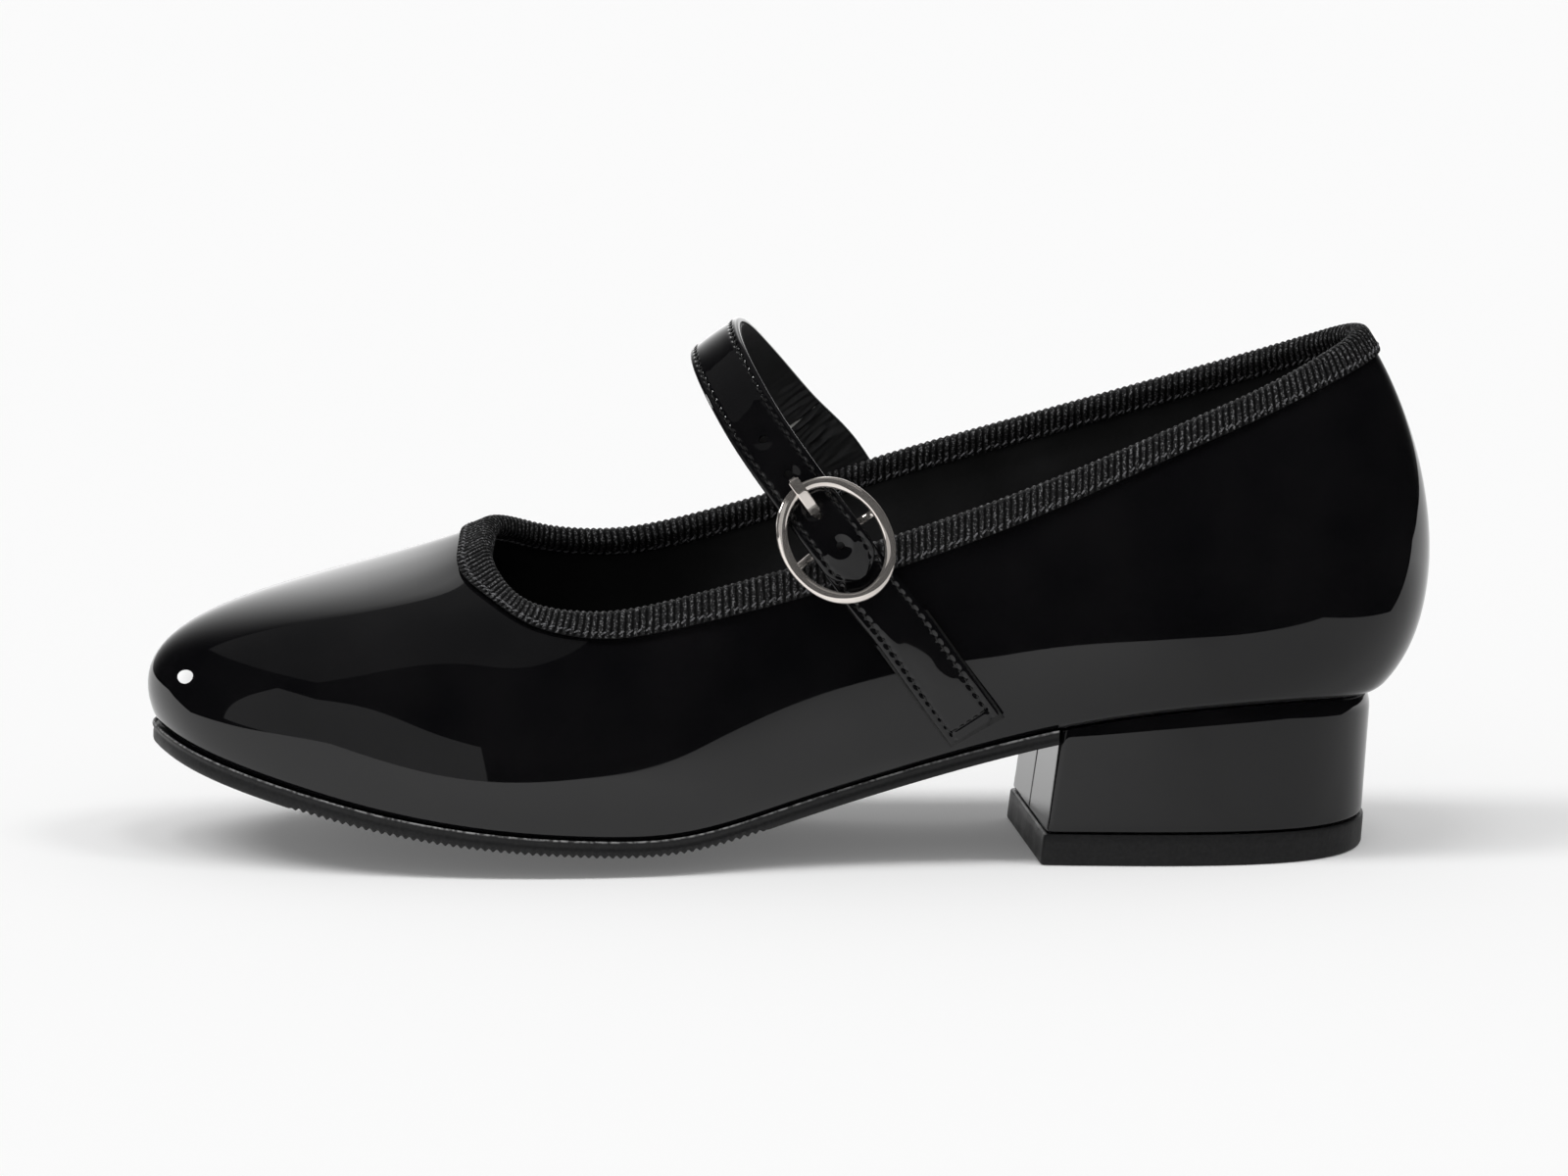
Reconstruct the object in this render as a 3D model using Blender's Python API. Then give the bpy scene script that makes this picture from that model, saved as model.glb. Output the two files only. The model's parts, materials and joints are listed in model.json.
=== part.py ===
"""Left block-heel tap shoe in the Mary Jane style, patent leather with a buckled instep strap.

Frame: toe towards -X, heel towards +X, outer (lateral) side towards -Y, +Z up, with the floor at
z = 0. Sizes below are millimetres; meshes are written in metres.

The whole shoe is worked out from the last: its feather line, where the upper meets the sole, its
top line, where the upper ends, and the bulge of the wall between them. A place on the wall is
(lap, down, out): lap runs once round the shoe, from the toe along the outer side to the heel and
back, down is the distance below the top line, and out is the distance outside the patent face.
"""
import math

import bmesh
import bpy
import numpy as np
from mathutils import Matrix, Vector

MM = 0.001
CENTRE = np.array([0.94, -0.18, 0.0])  # middle of the shoe's box, in the frame that the tables use
GAP = 0.3  # air between neighbouring pieces

# Driving sizes
UPPER_THICK = 1.2
STIFFENER_THICK = 0.7
LINING_THICK = 0.7
MARGIN_WIDE = 12.0  # lasting margin of the upper, turned under the insole board
LINING_MARGIN_WIDE = 6.0
BINDING_WIDE = 5.4
BINDING_THICK = 0.5
BOARD_THICK = 1.8
FOAM_THICK = 1.5
SOCK_THICK = 0.7
SOLE_EDGE_OUT = 1.0  # how far the sole's edge stands out past the feather line
TOP_PIECE_HIGH = 5.8
BREAST_LEAN, BACK_LEAN = 3.4, 1.9  # how much further forward the heel's foot stands than its seat
HEEL_SEAT_HIGH = 27.0
BREAST_X = 48.0  # heel breast on the centre line
BREAST_TURN = -0.098  # change of the breast's x for each mm of y
HEEL_INSET = 0.8  # the heel's cover stands this far inside the feather line
COVER_THICK = 0.9
STRAP_WIDE = 10.6
STRAP_OUTER_THICK = 0.7
STRAP_TAPE_THICK = 0.3
STRAP_LINING_THICK = 0.6
STRAP_GAP = 0.15
HOLE_PITCH, HOLE_RADIUS = 8.0, 1.4
PRONG_HOLE_UP = 6.6  # from the bar to the hole that the prong is in

# Feather line: x, y on the outer side, y on the inner side, z. Seventeen stations, toe to heel.
FEATHER = [
    (-116.5, 2.0, 2.0, 22.4), (-112.0, -11.5, 14.0, 20.8), (-103.0, -21.5, 24.0, 18.1),
    (-90.0, -29.3, 31.3, 14.8), (-73.0, -35.0, 36.0, 11.0), (-54.0, -37.4, 37.2, 8.1),
    (-36.0, -37.0, 35.0, 6.7), (-18.0, -34.0, 29.6, 7.0), (0.0, -28.5, 23.5, 11.3),
    (18.0, -25.0, 20.8, 16.5), (36.0, -24.7, 21.0, 21.6), (54.0, -26.0, 23.0, 26.0),
    (72.0, -26.9, 24.8, 28.7), (88.0, -25.6, 24.0, 29.9), (100.0, -20.8, 19.6, 29.9),
    (107.4, -11.8, 11.2, 29.2), (109.8, 0.0, 0.0, 28.8),
]
# Top line, outer side and inner side: x, y, z at the same stations.
TOP_OUTER = [
    (-54.7, 2.0, 58.4), (-54.6, -5.0, 56.4), (-53.2, -11.0, 53.6), (-50.3, -17.5, 50.6),
    (-45.2, -23.5, 48.5), (-37.0, -28.0, 48.0), (-27.0, -30.2, 49.0), (-13.0, -30.5, 52.4),
    (2.0, -29.5, 56.2), (18.0, -28.0, 60.9), (36.0, -26.0, 66.8), (54.0, -24.0, 73.7),
    (71.0, -21.3, 80.8), (86.0, -17.8, 87.0), (97.0, -12.8, 92.0), (103.8, -6.6, 95.2),
    (106.4, 0.0, 96.7),
]
TOP_INNER = [
    (-54.7, 2.0, 58.4), (-54.0, 8.0, 59.6), (-51.0, 13.0, 58.9), (-47.2, 17.2, 57.2), (-42.0, 20.5, 55.6),
    (-34.5, 23.6, 55.0), (-25.0, 25.8, 55.9), (-12.0, 26.5, 59.0), (2.0, 26.0, 63.2), (18.0, 25.0, 68.7),
    (36.0, 24.0, 74.1), (54.0, 23.0, 79.3), (71.0, 21.0, 84.4), (86.0, 17.5, 89.2), (97.0, 12.6, 93.2),
    (103.8, 6.5, 96.0), (106.4, 0.0, 96.7),
]
# Bulge of the wall: how far its lower handle leans out and up, its upper one out and down.
BULGE_OUTER = [
    (12.6, 26.0, 21.0, 11.6), (11.2, 25.0, 21.4, 10.2), (8.0, 22.0, 22.0, 8.0),
    (6.0, 19.5, 20.0, 7.0), (5.2, 14.0, 13.5, 8.5), (5.4, 9.5, 8.8, 11.0),
    (4.6, 8.8, 6.2, 13.0), (4.3, 8.0, 4.4, 14.5), (5.6, 7.6, 2.2, 16.5),
    (7.0, 7.0, 1.4, 18.0), (6.0, 9.0, 2.0, 15.5), (6.0, 12.5, 4.0, 16.0),
    (7.0, 13.0, 7.0, 18.0), (8.5, 13.0, 9.5, 20.0), (11.5, 13.0, 12.2, 22.0),
    (14.5, 13.0, 14.2, 22.0), (15.5, 13.0, 14.9, 22.0),
]
BULGE_INNER = [
    (12.6, 26.0, 21.0, 11.6), (11.2, 26.0, 21.4, 11.0), (8.0, 24.0, 22.0, 10.0),
    (6.5, 21.0, 20.0, 9.0), (5.0, 19.0, 17.0, 7.0), (4.5, 18.0, 12.5, 9.0),
    (4.0, 17.0, 9.0, 12.0), (3.0, 16.0, 6.0, 15.0), (3.0, 16.0, 4.0, 16.0),
    (3.5, 16.0, 3.0, 16.0), (5.0, 16.0, 3.0, 16.0), (6.0, 15.0, 4.5, 17.0),
    (7.0, 13.0, 7.0, 18.0), (8.5, 13.0, 9.5, 20.0), (11.5, 13.0, 12.2, 22.0),
    (14.5, 13.0, 14.2, 22.0), (15.5, 13.0, 14.9, 22.0),
]
# How far the bottom of the last bellies down between its edges: x, depth.
BELLY = [(-117, 0.0), (-104, 0.9), (-85, 2.2), (-55, 3.2), (-30, 3.6), (-12, 3.0), (15, 1.4), (45, 0.0)]
SOLE_THICK = [(-117, 3.2), (-90, 3.0), (-50, 2.6), (20, 2.4), (50, 2.2)]


# Shape of the last

def closed_spline(knots, lap):
    """Smooth loop through evenly spaced knots; one lap is 1."""
    knots = np.asarray(knots, float)
    count = len(knots)
    ring = np.eye(count)
    weights = 4 * ring + np.roll(ring, 1, 0) + np.roll(ring, -1, 0)
    slopes = np.linalg.solve(weights, 3 * (np.roll(knots, -1, 0) - np.roll(knots, 1, 0)))
    place = (np.asarray(lap, float) % 1.0) * count
    first = np.floor(place).astype(int) % count
    f = (place - np.floor(place))[..., None]
    second = (first + 1) % count
    return (
        (2 * f**3 - 3 * f**2 + 1) * knots[first]
        + (f**3 - 2 * f**2 + f) * slopes[first]
        + (3 * f**2 - 2 * f**3) * knots[second]
        + (f**3 - f**2) * slopes[second]
    )


def open_spline(knots, share):
    """Smooth open curve through knots, spaced by the distance between them; share runs 0 to 1."""
    knots = np.asarray(knots, float)
    steps = np.linalg.norm(np.diff(knots[:, :3], axis=0), axis=1)
    at = np.concatenate([[0], np.cumsum(steps)])
    slopes = np.gradient(knots, at, axis=0, edge_order=2)
    place = np.asarray(share, float) * at[-1]
    first = np.clip(np.searchsorted(at, place, side="right") - 1, 0, len(steps) - 1)
    h = steps[first][..., None]
    f = (place - at[first])[..., None] / h
    return (
        (2 * f**3 - 3 * f**2 + 1) * knots[first]
        + (f**3 - 2 * f**2 + f) * h * slopes[first]
        + (3 * f**2 - 2 * f**3) * knots[first + 1]
        + (f**3 - f**2) * h * slopes[first + 1]
    )


def both_sides(outer, inner):
    """Stations of the outer side toe to heel, then of the inner side heel to toe."""
    return list(outer) + list(inner)[-2:0:-1]


FEATHER_LOOP = both_sides([(x, y, z) for x, y, _, z in FEATHER], [(x, y, z) for x, _, y, z in FEATHER])
TOP_LOOP = both_sides(TOP_OUTER, TOP_INNER)
BULGE_LOOP = both_sides(BULGE_OUTER, BULGE_INNER)


def unit(vectors):
    return vectors / np.linalg.norm(vectors, axis=-1, keepdims=True)


def outward(lap):
    """Level direction out of the shoe, square to the feather line."""
    step = 1e-4
    along = closed_spline(FEATHER_LOOP, lap + step) - closed_spline(FEATHER_LOOP, lap - step)
    return unit(np.stack([along[..., 1], -along[..., 0], 0 * along[..., 0]], -1))


def handles(lap):
    """The four control points of the wall's column at this lap."""
    foot, top = closed_spline(FEATHER_LOOP, lap), closed_spline(TOP_LOOP, lap)
    bulge, out = closed_spline(BULGE_LOOP, lap), outward(lap)
    up = np.array([0, 0, 1.0])
    low = foot + bulge[..., 0:1] * out + bulge[..., 1:2] * up
    high = top + bulge[..., 2:3] * out - bulge[..., 3:4] * up
    return foot, low, high, top


def on_column(lap, rise):
    """A place on the wall; rise runs from 0 at the feather line to 1 at the top line."""
    foot, low, high, top = handles(lap)
    r = np.asarray(rise, float)[..., None]
    return (1 - r) ** 3 * foot + 3 * r * (1 - r) ** 2 * low + 3 * r**2 * (1 - r) * high + r**3 * top


def wall_normal(lap, rise):
    step = 1e-3
    low, high = np.maximum(rise - step, 0), np.minimum(rise + step, 1)
    across = on_column(lap + step, rise) - on_column(lap - step, rise)
    return unit(np.cross(across, on_column(lap, high) - on_column(lap, low)))


def wall(lap, down, out):
    """Places on or beside the wall, and above the top line where down is negative."""
    lap, down, out = (np.asarray(a, float) for a in np.broadcast_arrays(lap, down, out))
    shape = lap.shape
    lap, down, out = lap.ravel(), down.ravel(), out.ravel()
    rises = np.linspace(1, 0, 81)
    places = on_column(lap[:, None], rises[None, :] + 0 * lap[:, None])
    runs = np.cumsum(np.linalg.norm(np.diff(places, axis=1), axis=2), axis=1)
    rise = np.array([
        np.interp(d, np.concatenate([[0], run]), rises) for d, run in zip(down, runs)
    ])
    normal = wall_normal(lap, rise)
    above = np.minimum(down, 0)[:, None]
    ending = unit(on_column(lap, 1 + 0 * lap) - on_column(lap, 0.99 + 0 * lap))
    found = on_column(lap, rise) + out[:, None] * normal - above * ending
    return found.reshape(*shape, 3)


def wall_length(lap):
    places = on_column(np.asarray(lap, float)[..., None], np.linspace(0, 1, 41))
    return np.linalg.norm(np.diff(places, axis=-2), axis=-1).sum(-1)


DENSE = np.linspace(0, 0.5, 401)
DENSE_OUTER = closed_spline(FEATHER_LOOP, DENSE)
DENSE_INNER = closed_spline(FEATHER_LOOP, 1 - DENSE)


def last_bottom(x, y):
    """Height of the underside of the last."""
    outer = np.interp(x, DENSE_OUTER[:, 0], DENSE_OUTER[:, 1])
    inner = np.interp(x, DENSE_INNER[:, 0], DENSE_INNER[:, 1])
    edge = np.interp(x, DENSE_OUTER[:, 0], DENSE_OUTER[:, 2])
    half = np.maximum((inner - outer) / 2, 1.0)
    aside = np.clip((y - (inner + outer) / 2) / half, -1.15, 1.15)
    depth = np.interp(x, *zip(*BELLY))
    return edge - depth * (1 - aside**2)


def under(lap, inset, lift):
    """Places beneath the last, this far inside the feather line and above its underside."""
    lap, inset, lift = np.broadcast_arrays(np.asarray(lap, float), inset, lift)
    flat = closed_spline(FEATHER_LOOP, lap) - inset[..., None] * outward(lap)
    return np.stack([flat[..., 0], flat[..., 1], last_bottom(flat[..., 0], flat[..., 1]) + lift], -1)


def lap_at_x(x, inner=False):
    line = DENSE_INNER if inner else DENSE_OUTER
    lap = np.interp(x, line[:, 0], DENSE)
    return 1 - lap if inner else lap


def sole_rows(start_x, end_x, inset, rows, columns, round_start=True, round_end=True):
    """Plan of a pad under the foot: rows across from the outer to the inner edge, as x and y."""
    spread = np.linspace(0, 1, rows)
    if round_start and round_end:
        spread = (1 - np.cos(np.pi * spread)) / 2
    elif round_start:
        spread = 1 - np.cos(np.pi / 2 * spread)
    elif round_end:
        spread = np.sin(np.pi / 2 * spread)
    ends = [(lap_at_x(x), lap_at_x(x, inner=True)) for x in (start_x, end_x)]
    outer = ends[0][0] + (ends[1][0] - ends[0][0]) * spread
    inner = ends[0][1] + (ends[1][1] - ends[0][1]) * spread
    return between([under(lap, inset, 0)[:, :2] for lap in (outer, inner)], columns)


# Mesh helpers

def clear_scene():
    for obj in list(bpy.data.objects):
        bpy.data.objects.remove(obj, do_unlink=True)
    for name in ("tap_shoe", "cutters"):
        bpy.context.scene.collection.children.link(bpy.data.collections.new(name))


def material(name, colour, roughness, metallic=0.0):
    found = bpy.data.materials.get(name)
    if found:
        return found
    made = bpy.data.materials.new(name)
    made.use_nodes = True
    shader = made.node_tree.nodes["Principled BSDF"]
    shader.inputs["Base Color"].default_value = (*colour, 1)
    shader.inputs["Roughness"].default_value = roughness
    shader.inputs["Metallic"].default_value = metallic
    return made


FINISHES = {
    "patent": ((0.004, 0.004, 0.005), 0.06),
    "lining": ((0.012, 0.012, 0.013), 0.6),
    "grosgrain": ((0.015, 0.015, 0.016), 0.8),
    "board": ((0.45, 0.36, 0.25), 0.85),
    "foam": ((0.55, 0.55, 0.52), 0.9),
    "cork": ((0.42, 0.28, 0.16), 0.9),
    "stiffener": ((0.7, 0.68, 0.62), 0.8),
    "rubber": ((0.016, 0.016, 0.017), 0.55),
    "plastic": ((0.05, 0.05, 0.05), 0.5),
    "steel": ((0.55, 0.55, 0.56), 0.35, 1.0),
    "nickel": ((0.78, 0.74, 0.7), 0.15, 1.0),
}


def add_object(name, mesh, finish, collection="tap_shoe"):
    obj = bpy.data.objects.new(name, mesh)
    bpy.data.collections[collection].objects.link(obj)
    obj.data.materials.append(material(finish, *FINISHES[finish]))
    return obj


def finished(name, work, finish):
    """Object from a bmesh, with its faces turned out and shaded smooth."""
    bmesh.ops.remove_doubles(work, verts=work.verts, dist=0.002 * MM)
    bmesh.ops.recalc_face_normals(work, faces=work.faces)
    mesh = bpy.data.meshes.new(name)
    work.to_mesh(mesh)
    work.free()
    mesh.shade_smooth()
    mesh.set_sharp_from_angle(angle=math.radians(40))
    return add_object(name, mesh, finish)


def placed(place):
    """Metres in the shoe's own frame, from a place in the tables' frame."""
    return Vector((np.asarray(place, float) - CENTRE) * MM)


def add_grid(work, places):
    return [[work.verts.new(placed(p)) for p in row] for row in places]


def add_faces(work, grid, close_rows=False, close_columns=False):
    rows, columns = len(grid), len(grid[0])
    for i in range(rows if close_rows else rows - 1):
        for j in range(columns if close_columns else columns - 1):
            k, m = (i + 1) % rows, (j + 1) % columns
            work.faces.new((grid[i][j], grid[k][j], grid[k][m], grid[i][m]))


def hoop(name, loops, finish):
    """Closed ring whose section is the loops in turn; each loop runs once round the shoe or the heel."""
    work = bmesh.new()
    add_faces(work, add_grid(work, loops), close_rows=True, close_columns=True)
    return finished(name, work, finish)


def slab(name, upper_face, lower_face, finish):
    """Solid between two sheets of the same rows and columns."""
    work = bmesh.new()
    top, low = add_grid(work, upper_face), add_grid(work, lower_face)
    add_faces(work, top)
    add_faces(work, low)
    for line_top, line_low in (
        (top[0], low[0]), (top[-1], low[-1]),
        ([r[0] for r in top], [r[0] for r in low]), ([r[-1] for r in top], [r[-1] for r in low]),
    ):
        add_faces(work, [line_top, line_low])
    return finished(name, work, finish)


def sweep(name, sections, finish):
    """Bar through closed sections, capped at both ends."""
    work = bmesh.new()
    grid = add_grid(work, sections)
    add_faces(work, grid, close_columns=True)
    work.faces.new(grid[0])
    work.faces.new(grid[-1])
    return finished(name, work, finish)


def with_height(plan, lift):
    """Plan rows set this far above the last's underside."""
    heights = last_bottom(plan[..., 0], plan[..., 1]) + lift
    return np.concatenate([plan, heights[..., None]], axis=-1)


def cylinder(name, place, radius, low, high, finish, axis=(0, 0, 1), sides=16):
    """Round bar along axis through place, from low to high along it."""
    work = bmesh.new()
    bmesh.ops.create_cone(
        work, cap_ends=True, segments=sides, radius1=radius * MM, radius2=radius * MM,
        depth=(high - low) * MM,
    )
    turn = Vector((0, 0, 1)).rotation_difference(Vector(axis)).to_matrix().to_4x4()
    bmesh.ops.translate(work, verts=work.verts, vec=(0, 0, (high + low) / 2 * MM))
    bmesh.ops.transform(work, matrix=Matrix.Translation(placed(place)) @ turn, verts=work.verts)
    return finished(name, work, finish)


def as_cutter(obj):
    bpy.data.collections["tap_shoe"].objects.unlink(obj)
    bpy.data.collections["cutters"].objects.link(obj)
    obj.hide_render = True
    obj.display_type = "WIRE"
    return obj


def cut(target, cutter, operation="DIFFERENCE"):
    modifier = target.modifiers.new(cutter.name, "BOOLEAN")
    modifier.operation = operation
    modifier.object = cutter
    modifier.solver = "EXACT"


# Upper, stiffeners, lining and binding

LAP_COUNT = 64  # shared by every layer of the wall, so that their facets stay parallel
LAPS = np.arange(LAP_COUNT) / LAP_COUNT
WALL_SHARES = [0, 0.1, 0.22, 0.36, 0.52, 0.68, 0.84, 0.97]
EDGE_DOWN = 0.9  # the leather stops this far below the binding's fold


def down_at(laps, share):
    return EDGE_DOWN + share * (wall_length(laps) - EDGE_DOWN)


def ends_only(lap):
    """1 round the toe and round the heel, where a stiffener lies between upper and lining."""
    away = np.abs((lap + 0.25) % 0.5 - 0.25)
    reach = np.where(np.abs((lap + 0.5) % 1 - 0.5) < 0.25, 0.125, 0.155)
    return np.clip((reach + 0.03 - away) / 0.03, 0, 1)


def lining_depth(lap, down):
    """How far inside the patent face the lining's outer face lies."""
    behind = UPPER_THICK + 1.5 * GAP
    spare = STIFFENER_THICK + GAP
    return behind + spare * ends_only(lap) * np.clip((down - 7) / 5, 0, 1)


def shell_loops(laps, shares, margin, face, back, lift, thick):
    """Section loops of a shell with its lower margin turned under the foot."""
    length = wall_length(laps)
    loops = []
    for share in shares:
        down = down_at(laps, share)
        loops.append(wall(laps, down, -face(laps, down)))
    for inset in margin:
        loops.append(under(laps, inset, lift))
    for inset in reversed(margin):
        loops.append(under(laps, inset, lift + thick))
    for share in reversed(shares):
        down = down_at(laps, share)
        loops.append(wall(laps, np.minimum(down, length - thick), -back(laps, down)))
    return loops


def make_upper():
    hoop("upper", shell_loops(
        LAPS, WALL_SHARES, [2.0, 7.0, MARGIN_WIDE],
        lambda lap, down: 0 * down, lambda lap, down: UPPER_THICK + 0 * down, 0.0, UPPER_THICK,
    ), "patent")


def make_lining():
    laps = LAPS
    loops = []
    for extra in (0, LINING_THICK):
        side = []
        for share in WALL_SHARES[:-1]:
            down = down_at(laps, share)
            side.append(wall(laps, down, -lining_depth(laps, down) - extra))
        lift = UPPER_THICK + GAP + extra
        for inset in (4.4 + extra, LINING_MARGIN_WIDE + 3.0):
            side.append(under(laps, inset, lift))
        loops += side if not extra else side[::-1]
    hoop("lining", loops, "lining")


def stiffener(name, centre, reach):
    """Sheet between upper and lining, this many grid steps to each side of its centre's lap."""
    laps = centre + np.arange(-reach, reach + 1) / LAP_COUNT
    sheets = []
    for depth in (UPPER_THICK + GAP, UPPER_THICK + GAP + STIFFENER_THICK):
        rows = [wall(laps, down_at(laps, share), -depth) for share in WALL_SHARES[2:-1]]
        sheets.append(np.stack(rows, 1))
    slab(name, *sheets, "stiffener")


def make_binding():
    """Ribbon folded over the edge, outside leg, top and inside leg."""
    laps = LAPS
    inside = UPPER_THICK + 1.5 * GAP + LINING_THICK
    thick = BINDING_THICK
    profile = [
        (BINDING_WIDE, GAP), (BINDING_WIDE, GAP + thick), (2.6, GAP + thick), (0.35, GAP + thick),
        (0.0, GAP), (0.0, -inside - GAP), (0.35, -inside - GAP - thick),
        (BINDING_WIDE - 0.8, -inside - GAP - thick), (BINDING_WIDE - 0.8, -inside - GAP),
        (thick + 0.05, -inside - GAP), (thick + 0.05, GAP), (2.6, GAP),
    ]
    hoop("topline_binding", [wall(laps, down, out) for down, out in profile], "grosgrain")


# Bottom of the shoe

def pad(name, start_x, end_x, inset, low, thick, finish, **plan):
    flat = sole_rows(start_x, end_x, inset, plan.pop("rows", 22), plan.pop("columns", 5), **plan)
    return slab(name, with_height(flat, low + thick), with_height(flat, low), finish)


TOE_X, HEEL_X = FEATHER[0][0], FEATHER[-1][0]
BOARD_LOW = UPPER_THICK + GAP + LINING_THICK + GAP + 0.1
FOAM_LOW = BOARD_LOW + BOARD_THICK + GAP
SOCK_LOW = FOAM_LOW + FOAM_THICK + GAP


def breast_x(y):
    return BREAST_X + BREAST_TURN * y


BREAST_ENDS = ((False, -25.0), (True, 22.0))  # the breast's outer and inner end: inner?, y


def between(sides, columns):
    """Plan rows that run straight across from one side's places to the other's."""
    across = np.linspace(0, 1, columns)[None, :, None]
    return sides[0][:, None] * (1 - across) + sides[1][:, None] * across


def make_outsole():
    spread = 1 - np.cos(np.pi / 2 * np.linspace(0, 1, 30))
    sides = []
    for inner, y in BREAST_ENDS:
        start, stop = float(inner), lap_at_x(breast_x(y) - GAP, inner)
        sides.append(under(start + (stop - start) * spread, -SOLE_EDGE_OUT, 0)[:, :2])
    flat = between(sides, 9)
    thick = np.interp(flat[..., 0], *zip(*SOLE_THICK))
    slab("outsole", with_height(flat, -GAP), with_height(flat, -GAP - thick), "rubber")


def make_footbed():
    board = pad("insole_board", TOE_X, HEEL_X, 5.9, BOARD_LOW, BOARD_THICK, "board")
    pad("footbed_foam", TOE_X, HEEL_X, 6.2, FOAM_LOW, FOAM_THICK, "foam")
    pad("sock_lining", TOE_X, HEEL_X, 6.2, SOCK_LOW, SOCK_THICK, "lining")
    pad("bottom_filler", -103.0, -30.0, MARGIN_WIDE + 1.5, 0.1, 1.9, "cork",
        rows=12, columns=5, round_end=False)
    return board


SHANK_FRONT, SHANK_BACK, SHANK_WIDE, SHANK_THICK, SHANK_LIFT = -24.0, 84.0, 11.0, 1.2, 0.4
SHANK_RIVETS = (-14.0, 60.0)
SCREW_X = 76.0
SHANK_Y = -1.0  # the shank, its rivets and the heel screw lie on this line
RIVET_RADIUS, SCREW_RADIUS, NAIL_RADIUS, PIN_RADIUS = 1.5, 1.8, 1.0, 1.5
HOLE_SPARE = 0.35  # how much wider than its fastener a hole is, on the radius
NAIL_PLACES = [(62.0, -9.6), (62.0, 8.8), (88.5, -7.0), (88.5, 6.4)]
PIN_PLACES = [(60.0, 0.0), (90.0, 0.0)]


def make_shank():
    x = np.linspace(SHANK_FRONT, SHANK_BACK, 15)
    taper = np.interp(x, [SHANK_FRONT, SHANK_FRONT + 6, SHANK_BACK - 6, SHANK_BACK], [0.6, 1, 1, 0.6])
    across = np.linspace(-0.5, 0.5, 3)
    flat = np.stack([
        np.repeat(x[:, None], 3, 1), SHANK_Y + SHANK_WIDE * taper[:, None] * across[None, :],
    ], -1)
    ridge = last_bottom(x, 0 * x + SHANK_Y)[:, None] + 0 * flat[..., 0]
    low = np.concatenate([flat, (ridge + SHANK_LIFT)[..., None]], -1)
    high = np.concatenate([flat, (ridge + SHANK_LIFT + SHANK_THICK)[..., None]], -1)
    return slab("steel_shank", high, low, "steel")


def drill(target, name, place, fastener_radius, low, high):
    radius = fastener_radius + HOLE_SPARE
    cut(target, as_cutter(cylinder(name, place, radius, low, high, "steel")))


def make_shank_fixings(shank, board):
    for label, x in zip(("front", "rear"), SHANK_RIVETS):
        place, seat = (x, SHANK_Y, 0), float(last_bottom(x, SHANK_Y))
        low, high = seat + SHANK_LIFT, seat + BOARD_LOW + BOARD_THICK - GAP
        cylinder(f"shank_rivet_{label}", place, RIVET_RADIUS, low, high, "steel")
        drill(shank, f"rivet_{label}_shank_hole", place, RIVET_RADIUS, low - 4, high + 4)
        drill(board, f"rivet_{label}_board_hole", place, RIVET_RADIUS, low - 4, high + 6)


def heel_outline(inset, rows=13):
    """Heel seat outline as outer and inner sides from the breast to the back."""
    spread = np.sin(np.pi / 2 * np.linspace(0, 1, rows))
    sides = []
    for inner, y in BREAST_ENDS:
        start = lap_at_x(breast_x(y) + inset - HEEL_INSET, inner)
        sides.append(under(start + (0.5 - start) * spread, inset, 0)[:, :2])
    return sides


def leaned(flat, height):
    """Plan of the heel at this height: its foot stands further forward."""
    moved = np.array(flat, float)
    lean = np.interp(moved[..., 0], [BREAST_X, HEEL_X], [BREAST_LEAN, BACK_LEAN])
    moved[..., 0] += lean * (height / HEEL_SEAT_HIGH - 1)
    return moved


def heel_slab(name, inset, low, high, finish):
    """Piece of the heel between two levels; high None means up to the heel seat."""
    flat = between(heel_outline(inset), 5)
    if high is None:
        top = with_height(flat, -GAP)
    else:
        top = np.concatenate([leaned(flat, high), np.full(flat.shape[:2] + (1,), high)], -1)
    foot = np.concatenate([leaned(flat, low), np.full(flat.shape[:2] + (1,), low)], -1)
    return slab(name, top, foot, finish)


def heel_loop(inset):
    outer, inner = heel_outline(inset, 15)
    breast = [outer[0] + (inner[0] - outer[0]) * f for f in (0.25, 0.5, 0.75)]
    return np.array(list(outer) + list(inner[-2::-1]) + breast[::-1])


def make_heel(board):
    cover_inset, low = HEEL_INSET, TOP_PIECE_HIGH + GAP
    loops = []
    for inset, at_top in ((cover_inset, True), (cover_inset, False),
                          (cover_inset + COVER_THICK, False), (cover_inset + COVER_THICK, True)):
        flat = heel_loop(inset)
        if at_top:
            loops.append(with_height(flat, -GAP))
        else:
            loops.append(np.concatenate([leaned(flat, low), np.full((len(flat), 1), low)], -1))
    hoop("heel_cover", loops, "patent")
    block = heel_slab("heel_block", cover_inset + COVER_THICK + GAP, low, None, "plastic")
    top_piece = heel_slab("heel_top_piece", cover_inset - 0.4, 0.0, TOP_PIECE_HIGH, "rubber")
    for index, (x, y) in enumerate(NAIL_PLACES, 1):
        seat = float(last_bottom(x, y))
        low_end, high_end = seat - 11, seat + BOARD_LOW + BOARD_THICK - GAP
        cylinder(f"heel_nail_{index}", (x, y, 0), NAIL_RADIUS, low_end, high_end, "steel", sides=10)
        drill(board, f"nail_{index}_board_hole", (x, y, 0), NAIL_RADIUS, seat - 1, high_end + 6)
        drill(block, f"nail_{index}_block_hole", (x, y, 0), NAIL_RADIUS, low_end - 0.5, seat + 4)
    return block, top_piece


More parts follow.
